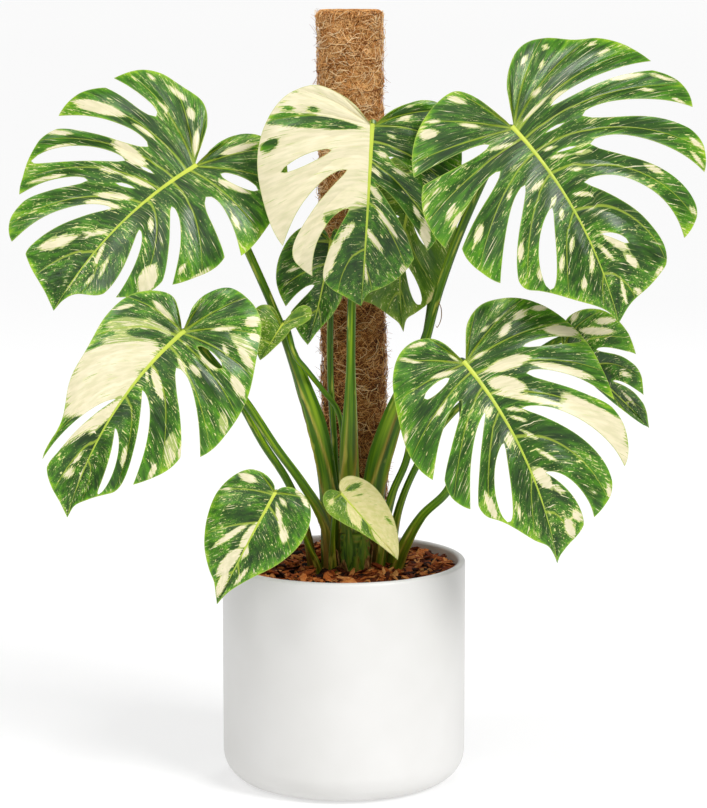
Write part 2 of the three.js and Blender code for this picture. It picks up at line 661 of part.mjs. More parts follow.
// A closed sheet of the blade's thickness round a middle surface, split alike on both faces. Its
// thickness runs along the surface's normal, or along `down` where `straight` is 1.
function sheetGeometry(middle, triangles, ribs, down, straight) {
  const flat = geometryOf(middle, triangles);
  flat.computeVertexNormals();
  const normal = flat.getAttribute("normal");
  const n = straight.map((share, i) =>
    new THREE.Vector3().fromBufferAttribute(normal, i).lerp(down, share).normalize());
  const upper = middle.map((p, i) => p.clone().addScaledVector(n[i], BLADE.thickness / 2));
  const lower = middle.map((p, i) => p.clone().addScaledVector(n[i], -BLADE.thickness / 2 - ribs[i]));
  const count = middle.length;
  const edges = new Set(triangles.flatMap(([a, b, c]) => [`${a},${b}`, `${b},${c}`, `${c},${a}`]));
  const walls = [];
  for (const [a, b, c] of triangles) {
    for (const [i, j] of [[a, b], [b, c], [c, a]]) {
      if (!edges.has(`${j},${i}`)) walls.push([j, i, i + count], [j, i + count, j + count]);
    }
  }
  const under = triangles.map(([a, b, c]) => [a + count, c + count, b + count]);
  return geometryOf([...upper, ...lower], [...triangles, ...under, ...walls]);
}

// ---------------------------------------------------------------- stalks and stem
// A stalk's route, carried on to just under its leaf's junction, and the way its top faces.
function routeOf(stalk) {
  const points = stalk.route.map(vec);
  if (!stalk.leaf) return { curve: new THREE.CatmullRomCurve3(points), top: null };
  const leaf = LEAVES[stalk.leaf];
  const { x, n } = frameOf(leaf);
  const end = vec(leaf.at).addScaledVector(n, -BLADE.thickness / 2 - BLADE.rib - GAP - 0.15);
  const before = end.clone().addScaledVector(n, -3 * stalk.tip).addScaledVector(x, -1.2 * stalk.tip);
  return { curve: new THREE.CatmullRomCurve3([...points, before, end]), top: n };
}

// A swept stalk: flat and sheathing at the foot, round at the top. `extra` makes it fatter all
// round, for the hole that it stands in.
function stalkGeometry(stalk, extra = 0) {
  const { curve, top } = routeOf(stalk);
  const circle = new THREE.Shape(Array.from({ length: STALK_SIDES }, (_, i) => {
    const a = (2 * Math.PI * i) / STALK_SIDES;
    return new THREE.Vector2(Math.cos(a), Math.sin(a));
  }));
  const rod = new THREE.ExtrudeGeometry(circle, { depth: 1, steps: STALK_STEPS, bevelEnabled: false });
  return warped(rod, (p) => {
    const u = clamp(p.z);
    const way = curve.getTangentAt(u);
    if (top) way.lerp(top, ease((u - 0.85) / 0.15)).normalize();
    const wide = new THREE.Vector3().crossVectors(way, new THREE.Vector3(0, -1, 0)).normalize();
    const deep = new THREE.Vector3().crossVectors(way, wide);
    const sheath = 1 - ease((u - stalk.sheath + 0.16) / 0.32);
    return curve.getPointAt(u)
      .addScaledVector(way, u === 0 ? -extra : 0)
      .addScaledVector(wide, p.x * (mix(stalk.tip, stalk.foot[0], sheath) + extra))
      .addScaledVector(deep, p.y * (mix(stalk.tip, stalk.foot[1], sheath) + extra));
  });
}

// The short stem: knobbly, with a ring at each old leaf scar and a domed top.
function stemGeometry(extra = 0) {
  const { at, radius, foot, top } = STEM;
  const rise = Array.from({ length: 9 }, (_, i) => {
    const z = mix(foot - extra, top - 4, i / 8);
    return [radius + extra + (i % 2 ? 0.9 : -0.4), z];
  });
  const profile = [[0, foot - extra], ...rise, [radius * 0.7, top], [0, top]];
  return lathe(profile, 14).translate(at[0], at[1], 0);
}

// ---------------------------------------------------------------- assembly
const group = new THREE.Group();
group.name = "potted_monstera";
group.add(mesh("pot", potGeometry(), COLOURS.pot));

let bark = barkSolid();
for (const stalk of Object.values(STALKS)) {
  if (stalk.route[0][2] < SOIL.level) bark = bark.subtract(solidOf(stalkGeometry(stalk, GAP)));
}
for (const hole of [stemGeometry(GAP), coirGeometry(GAP), coreGeometry(GAP)]) {
  bark = bark.subtract(solidOf(hole));
}
group.add(mesh("bark_mix", geometryOfSolid(bark), COLOURS.soil));
group.add(mesh("pole_core", coreGeometry(), COLOURS.core));
group.add(mesh("coir_sleeve", coirGeometry(), COLOURS.coir));
group.add(mesh("stem", stemGeometry(), COLOURS.stem));
for (const [name, stalk] of Object.entries(STALKS)) {
  group.add(mesh(name, stalkGeometry(stalk), COLOURS.stalk));
}
for (const [name, leaf] of Object.entries(LEAVES)) {
  group.add(mesh(name, bladeGeometry(leaf), COLOURS.leaf));
}

export default group;
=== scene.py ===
# %% [markdown]
# # A variegated split-leaf monstera in a white pot
# The plant stands in a white cylinder pot of bark and leans on a coir pole. A solid model of it,
# with every piece at its real size, is loaded first and never changes. Each cell then builds the
# fine surface that stands in for one of its pieces: the same form, with the veins, fibres, chips
# and colours that a solid model leaves out.

# %% Load the solid model
import math

import bpy
import numpy as np
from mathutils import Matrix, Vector


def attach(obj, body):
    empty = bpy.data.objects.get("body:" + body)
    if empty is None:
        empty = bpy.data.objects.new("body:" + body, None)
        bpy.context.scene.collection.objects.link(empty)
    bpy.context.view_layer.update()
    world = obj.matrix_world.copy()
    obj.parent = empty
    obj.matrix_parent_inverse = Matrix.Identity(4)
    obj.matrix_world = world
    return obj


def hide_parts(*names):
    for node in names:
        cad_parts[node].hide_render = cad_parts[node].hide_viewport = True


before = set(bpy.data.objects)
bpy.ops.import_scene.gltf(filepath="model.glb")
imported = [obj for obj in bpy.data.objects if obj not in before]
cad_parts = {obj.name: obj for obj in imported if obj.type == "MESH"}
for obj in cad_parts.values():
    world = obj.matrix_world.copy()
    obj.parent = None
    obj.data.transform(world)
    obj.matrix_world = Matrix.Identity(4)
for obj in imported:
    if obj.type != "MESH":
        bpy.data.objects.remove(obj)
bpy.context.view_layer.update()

MM = 0.001

# %% [markdown]
# ## Camera, floor and light
# A plant of this size is usually taken with a long lens from a few metres off, which keeps the
# sides of the pot upright. The set is a pale floor that runs on past the picture and a bright room
# all round it. The main light is broad, high, and to the right of the camera, so that the left of
# the pot is a little grey. Two weak lamps draw soft gloss on the leaves.

# %% Camera
CAMERA = {"place": (0.0095, -2.8, 0.808), "pitch": 0.1535, "lens": 128.7, "film": 36}

camera = bpy.data.objects.new("camera", bpy.data.cameras.new("camera"))
bpy.context.scene.collection.objects.link(camera)
camera.data.lens = CAMERA["lens"]
camera.data.sensor_width = CAMERA["film"]
camera.data.clip_end = 300
camera.location = CAMERA["place"]
camera.rotation_euler = (math.pi / 2 - CAMERA["pitch"], 0, 0)
bpy.context.scene.camera = camera
print("camera", CAMERA)


# %% Colours and nodes
def linear(code):
    """An sRGB hex colour as the linear red, green, blue and alpha that a shader wants."""
    parts = np.array([int(code[i:i + 2], 16) for i in (1, 3, 5)]) / 255
    parts = np.where(parts <= 0.04045, parts / 12.92, ((parts + 0.055) / 1.055) ** 2.4)
    return (*parts.tolist(), 1.0)


def add(tree, kind, inputs=None, out=0, stops=(), **settings):
    """Adds a shader node and returns one of its outputs. Inputs, by name or number, are set or
    linked. Stops are a colour ramp's places and hex colours."""
    made = tree.nodes.new("ShaderNode" + kind)
    for key, value in settings.items():
        setattr(made, key, value)
    for key, value in (inputs or {}).items():
        if isinstance(value, bpy.types.NodeSocket):
            tree.links.new(value, made.inputs[key])
        else:
            made.inputs[key].default_value = linear(value) if isinstance(value, str) else value
    for i, (place, colour) in enumerate(stops):
        bar = made.color_ramp.elements
        stop = bar[i] if i < 2 else bar.new(place)
        stop.position = place
        stop.color = linear(colour)
    return made.outputs[out] if len(made.outputs) else None


def noise(tree, scale, detail, place=None, **settings):
    """Noise of `scale` cells to a unit of `place`, which is the object's metres if not given.
    Three scales draw it out, each along its own axis."""
    if place is None:
        place = add(tree, "TexCoord", out=3)
    if isinstance(scale, tuple):
        place, scale = add(tree, "Mapping", {"Vector": place, "Scale": scale}), 1.0
    return add(tree, "TexNoise", {"Vector": place, "Scale": scale, "Detail": detail}, **settings)


def streaks(tree, grain, across, length, detail=2.0):
    """Noise in cells `across` mm wide over the grain and `length` mm long along it."""
    return noise(tree, (1000 / across, 1000 / length, 1.0), detail, grain, noise_dimensions="2D")


def point_value(tree, name):
    """A value that the mesh holds for each of its points."""
    return add(tree, "Attribute", out=2, attribute_name=name)


def summed(tree, *parts):
    """The sum of sockets, each times its own weight."""
    out = 0.0
    for socket, weight in parts:
        out = add(tree, "Math", {0: socket, 1: weight, 2: out}, operation="MULTIPLY_ADD")
    return out


def fade(tree, socket, start, stop, most=1.0):
    """0 where the socket is at `start`, rising or falling to `most` where it is at `stop`."""
    return add(tree, "MapRange", {"Value": socket, "From Min": start, "From Max": stop,
                                  "To Max": most})


def blend(tree, share, under, over):
    """One colour laid over another, as much of it as `share` says."""
    return add(tree, "Mix", {0: share, 6: under, 7: over}, out=2, data_type="RGBA")


def material(name, surface):
    """A material. `surface` gets its node tree, lays out the nodes and returns the shader."""
    made = bpy.data.materials.new(name)
    made.use_nodes = True
    made.node_tree.nodes.clear()
    add(made.node_tree, "OutputMaterial", {"Surface": surface(made.node_tree)})
    return made


print("sRGB #808080 is", round(linear("#808080")[0], 3), "in linear light")

# %% Floor
FLOOR_HALF = 90.0  # metres, so that its far edge lies above the picture


def pale_floor(tree):
    """Matt white paper: no gloss, and a little light of its own that keeps its shadows pale."""
    spots = add(tree, "TexNoise", {"Scale": 3.0, "Detail": 2.0})
    shade = add(tree, "ValToRGB", {"Fac": spots}, stops=[(0.3, "#c6c6c6"), (0.7, "#cacac9")])
    return add(tree, "BsdfPrincipled", {
        "Base Color": shade, "Roughness": 0.95, "Specular IOR Level": 0.0,
        "Emission Color": "#ffffff", "Emission Strength": 0.45})


floor_mesh = bpy.data.meshes.new("floor")
corners = [(x * FLOOR_HALF, y * FLOOR_HALF, 0) for x, y in ((-1, -1), (1, -1), (1, 1), (-1, 1))]
floor_mesh.from_pydata(corners, [], [(0, 1, 2, 3)])
floor_mesh.materials.append(material("white_paper_floor", pale_floor))
floor = bpy.data.objects.new("floor", floor_mesh)
bpy.context.scene.collection.objects.link(floor)

# %% Light
ROOM = {"colour": "#ffffff", "strength": 0.3}
LAMPS = {  # kind, place in metres, how wide (degrees for the sun, metres for a disk), strength
    "main": ("SUN", (1.45, -1.45, 2.0), 24, 2.1),
    "front": ("SUN", (-0.5, -2.0, 1.5), 30, 0.4),
    "top": ("SUN", (-0.3, -0.7, 2.4), 36, 0.45),
    "gloss_left": ("DISK", (-1.9, -1.3, 2.2), 1.0, 18),
    "gloss_behind": ("DISK", (0.6, 2.0, 2.3), 1.0, 16),
}
AIM = Vector((0.0, 0.0, 0.45))

world = bpy.data.worlds.new("bright_room")
world.use_nodes = True
world.node_tree.nodes["Background"].inputs["Color"].default_value = linear(ROOM["colour"])
world.node_tree.nodes["Background"].inputs["Strength"].default_value = ROOM["strength"]
bpy.context.scene.world = world
bpy.context.scene.view_settings.view_transform = "Standard"
for name, (kind, place, width, strength) in LAMPS.items():
    lamp = bpy.data.lights.new(name, "SUN" if kind == "SUN" else "AREA")
    lamp.energy = strength
    if kind == "SUN":
        lamp.angle = math.radians(width)
    else:
        lamp.shape, lamp.size = kind, width
    holder = bpy.data.objects.new(name, lamp)
    holder.location = place
    holder.rotation_euler = (AIM - Vector(place)).to_track_quat("-Z", "Y").to_euler()
    bpy.context.scene.collection.objects.link(holder)
print("lamps", list(LAMPS))

# %% [markdown]
# ## Tools for surfaces
# Every piece is a grid of points worked out by a formula: a profile turned round an axis, or a
# section carried along a path. Neighbours on the grid make two triangles. Points that fall on the
# same place, at a seam or a pole, are then given one number, so that each surface is closed.


# %% Grids
def mix(a, b, t):
    return a + (b - a) * t


def ease(v):
    """0 below 0, 1 above 1, and a smooth S between."""
    v = np.clip(v, 0, 1)
    return v * v * (3 - 2 * v)


def unit(v):
    return v / np.maximum(np.linalg.norm(v, axis=-1, keepdims=True), 1e-12)


def grid_faces(rows, columns):
    """Two triangles for each cell of a grid whose points are numbered row after row."""
    a = np.arange(rows - 1)[:, None] * columns + np.arange(columns - 1)
    b, c, d = a + 1, a + columns + 1, a + columns
    return np.stack([np.stack([a, b, c], -1), np.stack([a, c, d], -1)]).reshape(-1, 3)


def weld(points, faces, step=1e-3):
    """Numbers points that share a place (to `step` mm) once and drops faces that close up to a
    line. Also returns which of the old points each new one is."""
    places = np.round(points / step).astype(np.int64)
    _, kept, same = np.unique(places, axis=0, return_index=True, return_inverse=True)
    faces = same.reshape(-1)[faces]
    a, b, c = faces.T
    return points[kept], faces[(a != b) & (b != c) & (c != a)], kept


def outward(points, faces):
    """Turns the faces over if the volume they hold, the sum of a . (b x c) / 6, is negative."""
    a, b, c = (points[faces[:, i]] for i in range(3))
    volume = np.einsum("ij,ij->", a, np.cross(b, c))
    return faces if volume > 0 else faces[:, ::-1]


def joined(parts):
    """Several (points, faces, values) as one, with the values kept point by point."""
    starts = np.cumsum([0] + [len(points) for points, _, _ in parts])
    points = np.concatenate([part[0] for part in parts])
    faces = np.concatenate([part[1] + start for part, start in zip(parts, starts)])
    values = {key: np.concatenate([part[2][key] for part in parts]) for key in parts[0][2]}
    return points, faces, values


# %% Curves and sweeps
def spline(points, steps=2400):
    """A smooth curve through the points: (a dense line, its length up to each of its points).
    It is a centripetal Catmull-Rom spline: the slope at a point comes from its two neighbours,
    each weighted by the square root of its distance."""
    p = np.array(points, float)
    p = np.vstack([2 * p[0] - p[1], p, 2 * p[-1] - p[-2]])
    gaps = np.sqrt(np.linalg.norm(np.diff(p, axis=0), axis=1))[:, None]
    u = np.linspace(0, len(points) - 1, steps)
    k = np.minimum(u.astype(int), len(points) - 2)
    w = (u - k)[:, None]
    a, b, c, d = (p[k + i] for i in range(4))
    g, h, j = (gaps[k + i] for i in range(3))
    leave = ((b - a) / g - (c - a) / (g + h) + (c - b) / h) * h
    reach = ((c - b) / h - (d - b) / (h + j) + (d - c) / j) * h
    line = b + leave * w + (3 * (c - b) - 2 * leave - reach) * w ** 2 \
        + (2 * (b - c) + leave + reach) * w ** 3
    steps_long = np.linalg.norm(np.diff(line, axis=0), axis=1)
    return line, np.r_[0, np.cumsum(steps_long)]


def along(curve, share):
    """The curve's points at these shares of its length."""
    line, length = curve
    return np.stack([np.interp(share * length[-1], length, axis) for axis in line.T], -1)


def turned(profile, sides):
    """A profile of [radius, height] pairs turned round the Z axis: point (i, j) stands at its
    radius and height, j / sides of a turn round."""
    a = np.linspace(0, 2 * np.pi, sides + 1)
    r, z = np.array(profile, float).T
    return np.stack([r[:, None] * np.cos(a), r[:, None] * np.sin(a), z[:, None] + 0 * a], -1)


def swept(path, wide, deep, section):
    """A skin round a path: point (i, j) = path[i] + section[i, j] along wide[i] and deep[i].
    A ring drawn in to the path closes each end."""
    rings = path[:, None] + section[..., :1] * wide[:, None] + section[..., 1:] * deep[:, None]
    ends = np.repeat(path[[0, -1], None], rings.shape[1], 1)
    rings = np.concatenate([ends[:1], rings, ends[1:]])
    return np.concatenate([rings, rings[:, :1]], 1)


def closed_skin(rings, values=None):
    """A grid of rings as (points, faces, values), welded, with its faces outwards."""
    rows, columns = rings.shape[:2]
    points, faces, kept = weld(rings.reshape(-1, 3), grid_faces(rows, columns))
    values = {key: v.reshape(rows * columns, -1)[kept] for key, v in (values or {}).items()}
    return points, outward(points, faces), values


def corner(r, z, radius, start, stop, steps=20):
    """Points of a rounded corner about [r, z], from one angle to another in degrees."""
    a = np.radians(np.linspace(start, stop, steps + 1))
    return np.stack([r + radius * np.cos(a), z + radius * np.sin(a)], -1)


# %% Into Blender
def piece(name, shape, materials, stands_for=(), kinds=None, crisp=50):
    """Puts a shape, (points in mm, faces, values), into a mesh object of metres at the origin.
    The value "grain" becomes its UV map and every other value an attribute of its points. Edges
    over `crisp` degrees stay sharp."""
    points, faces, values = shape
    made = bpy.data.meshes.new(name)
    made.vertices.add(len(points))
    made.vertices.foreach_set("co", (points * MM).astype(np.float32).ravel())
    made.loops.add(faces.size)
    made.loops.foreach_set("vertex_index", faces.astype(np.int32).ravel())
    made.polygons.add(len(faces))
    made.polygons.foreach_set("loop_start", np.arange(0, faces.size, 3, dtype=np.int32))
    made.polygons.foreach_set("use_smooth", np.ones(len(faces), bool))
    if kinds is not None:
        made.polygons.foreach_set("material_index", kinds.astype(np.int32))
    made.update(calc_edges=True)
    for key, value in values.items():
        if key == "grain":
            layer = made.uv_layers.new(name=key)
            layer.data.foreach_set("uv", value[faces.ravel()].astype(np.float32).ravel())
        else:
            layer = made.attributes.new(key, "FLOAT", "POINT")
            layer.data.foreach_set("value", value.astype(np.float32).ravel())
    made.set_sharp_from_angle(angle=math.radians(crisp))
    for finish in materials:
        made.materials.append(finish)
    obj = bpy.data.objects.new(name, made)
    bpy.context.scene.collection.objects.link(obj)
    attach(obj, "root")
    if stands_for:
        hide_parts(*stands_for)
    print(name, len(faces), "triangles")
    return obj


# %% [markdown]
# ## Pot
# A cast cylinder pot with a satin white finish: a wide rounded foot, a soft lip and a wall of
# 7.5 mm. The same profile as the solid's is turned in many more steps, so that the outline is
# smooth. The finish is nearly even. What gives it away as cast clay is a fine grain in the gloss.

# %% Pot shape
POT = {"radius": 120, "height": 220.7, "wall": 7.5, "floor": 10, "foot": 30, "lip": 3.2}

inner = POT["radius"] - POT["wall"]
inner_foot = POT["foot"] - POT["wall"]
pot_profile = np.vstack([
    [[0, 0]],
    corner(POT["radius"] - POT["foot"], POT["foot"], POT["foot"], -90, 0),
    corner(POT["radius"] - POT["lip"], POT["height"] - POT["lip"], POT["lip"], 0, 90, 8),
    corner(inner + POT["lip"], POT["height"] - POT["lip"], POT["lip"], 90, 180, 8),
    corner(inner - inner_foot, POT["floor"] + inner_foot, inner_foot, 0, -90, 10),
    [[0, POT["floor"]]],
])


def satin_white(tree):
    """Satin white glaze on cast clay: off-white, half gloss, with a grain of about 0.6 mm."""
    cloud, grain = noise(tree, 9.0, 3.0), noise(tree, 1600.0, 2.0)
    colour = add(tree, "ValToRGB", {"Fac": cloud}, stops=[(0.3, "#d4d3d0"), (0.7, "#dddcda")])
    gloss = add(tree, "MapRange", {"Value": cloud, "To Min": 0.36, "To Max": 0.5})
    bump = add(tree, "Bump", {"Height": grain, "Strength": 0.12, "Distance": 0.0002})
    return add(tree, "BsdfPrincipled", {
        "Base Color": colour, "Roughness": gloss, "IOR": 1.5, "Normal": bump})


piece("pot_shell", closed_skin(turned(pot_profile, 180)),
      [material("satin_white_glaze", satin_white)], ["pot"])

# %% [markdown]
# ## Bark
# Orchid bark fills the pot to about 12 mm under the rim and is heaped a little round the stems.
# A mound gives its level. Chips of 6 to 19 mm and thin shreds lie on it at all angles: each is a
# short six-sided bar with every point pushed off its place, so that no two are alike.

# %% Bark mound
SOIL = {"level": 208, "mound": 4.5, "relief": 2.2}


def bark_height(x, y):
    """The mound: highest at the middle, with shallow lumps that die out at the wall."""
    r = np.hypot(x, y) / inner
    lumps = np.sin(x * 0.21 + 1.3 * np.sin(y * 0.13)) * np.cos(y * 0.19 - 0.8) \
        + 0.6 * np.sin(x * 0.37 - y * 0.29)
    return SOIL["level"] + SOIL["mound"] * (1 - r * r) + SOIL["relief"] * lumps * (1 - 0.6 * r ** 6)


GAP = 0.3
mound_radius = inner - GAP
mound_foot = inner_foot + 2
mound = turned(np.vstack([
    [[0, POT["floor"] + GAP]],
    corner(mound_radius - mound_foot, POT["floor"] + GAP + mound_foot, mound_foot, -90, 0, 6),
    np.stack([np.linspace(mound_radius, 0, 70), np.full(70, SOIL["level"])], -1),
]), 150)
top = mound[-70:]
crumbs = np.sin(top[..., 0] * 1.9 + 2 * np.sin(top[..., 1] * 1.3)) \
    * np.sin(top[..., 1] * 2.1 + np.sin(top[..., 0] * 1.7))
top[..., 2] = bark_height(top[..., 0], top[..., 1]) + 0.7 * crumbs


def bark_finish(tree, tone):
    """Pine bark: reddish brown, dry and matt, layered like slate, with dark gaps between."""
    place = add(tree, "TexCoord", out=3)
    stretched = add(tree, "Mapping", {"Vector": place, "Scale": (1.0, 1.0, 3.2)})
    layers = add(tree, "TexNoise", {"Vector": stretched, "Scale": 240.0, "Detail": 6.0,
                                    "Roughness": 0.65})
    mottle = add(tree, "Math", {0: layers, 1: 0.55}, operation="MULTIPLY")
    depth = add(tree, "Math", {0: mottle, 1: tone}, operation="ADD")
    colour = add(tree, "ValToRGB", {"Fac": depth}, stops=[
        (0.2, "#1a0a04"), (0.42, "#6f3010"), (0.62, "#ab5b25"), (0.85, "#d59c5c")])
    bump = add(tree, "Bump", {"Height": layers, "Strength": 0.8, "Distance": 0.0012})
    return add(tree, "BsdfPrincipled", {
        "Base Color": colour, "Roughness": 0.86, "Specular IOR Level": 0.15, "Normal": bump})


mound_bark = material("fine_pine_bark", lambda tree: bark_finish(tree, noise(tree, 90.0, 1.0)))
chip_bark = material("pine_bark_chips", lambda tree: bark_finish(tree, point_value(tree, "tone")))
piece("bark_mound", closed_skin(mound), [mound_bark], ["bark_mix"])

# %% [markdown]
# ## Leaf and stalk routes
# The plant's own measurements, in millimetres, are the solid model's. A leaf hangs from `at`. Its
# midrib sets off `along` and its upper side looks along `face`. Each half has a margin of
# [along, out] pairs and cuts that run from a place at the midrib to a place at the margin, with
# openings of [from, to, width, mouth]. A stalk is a route of points and the size of its foot.

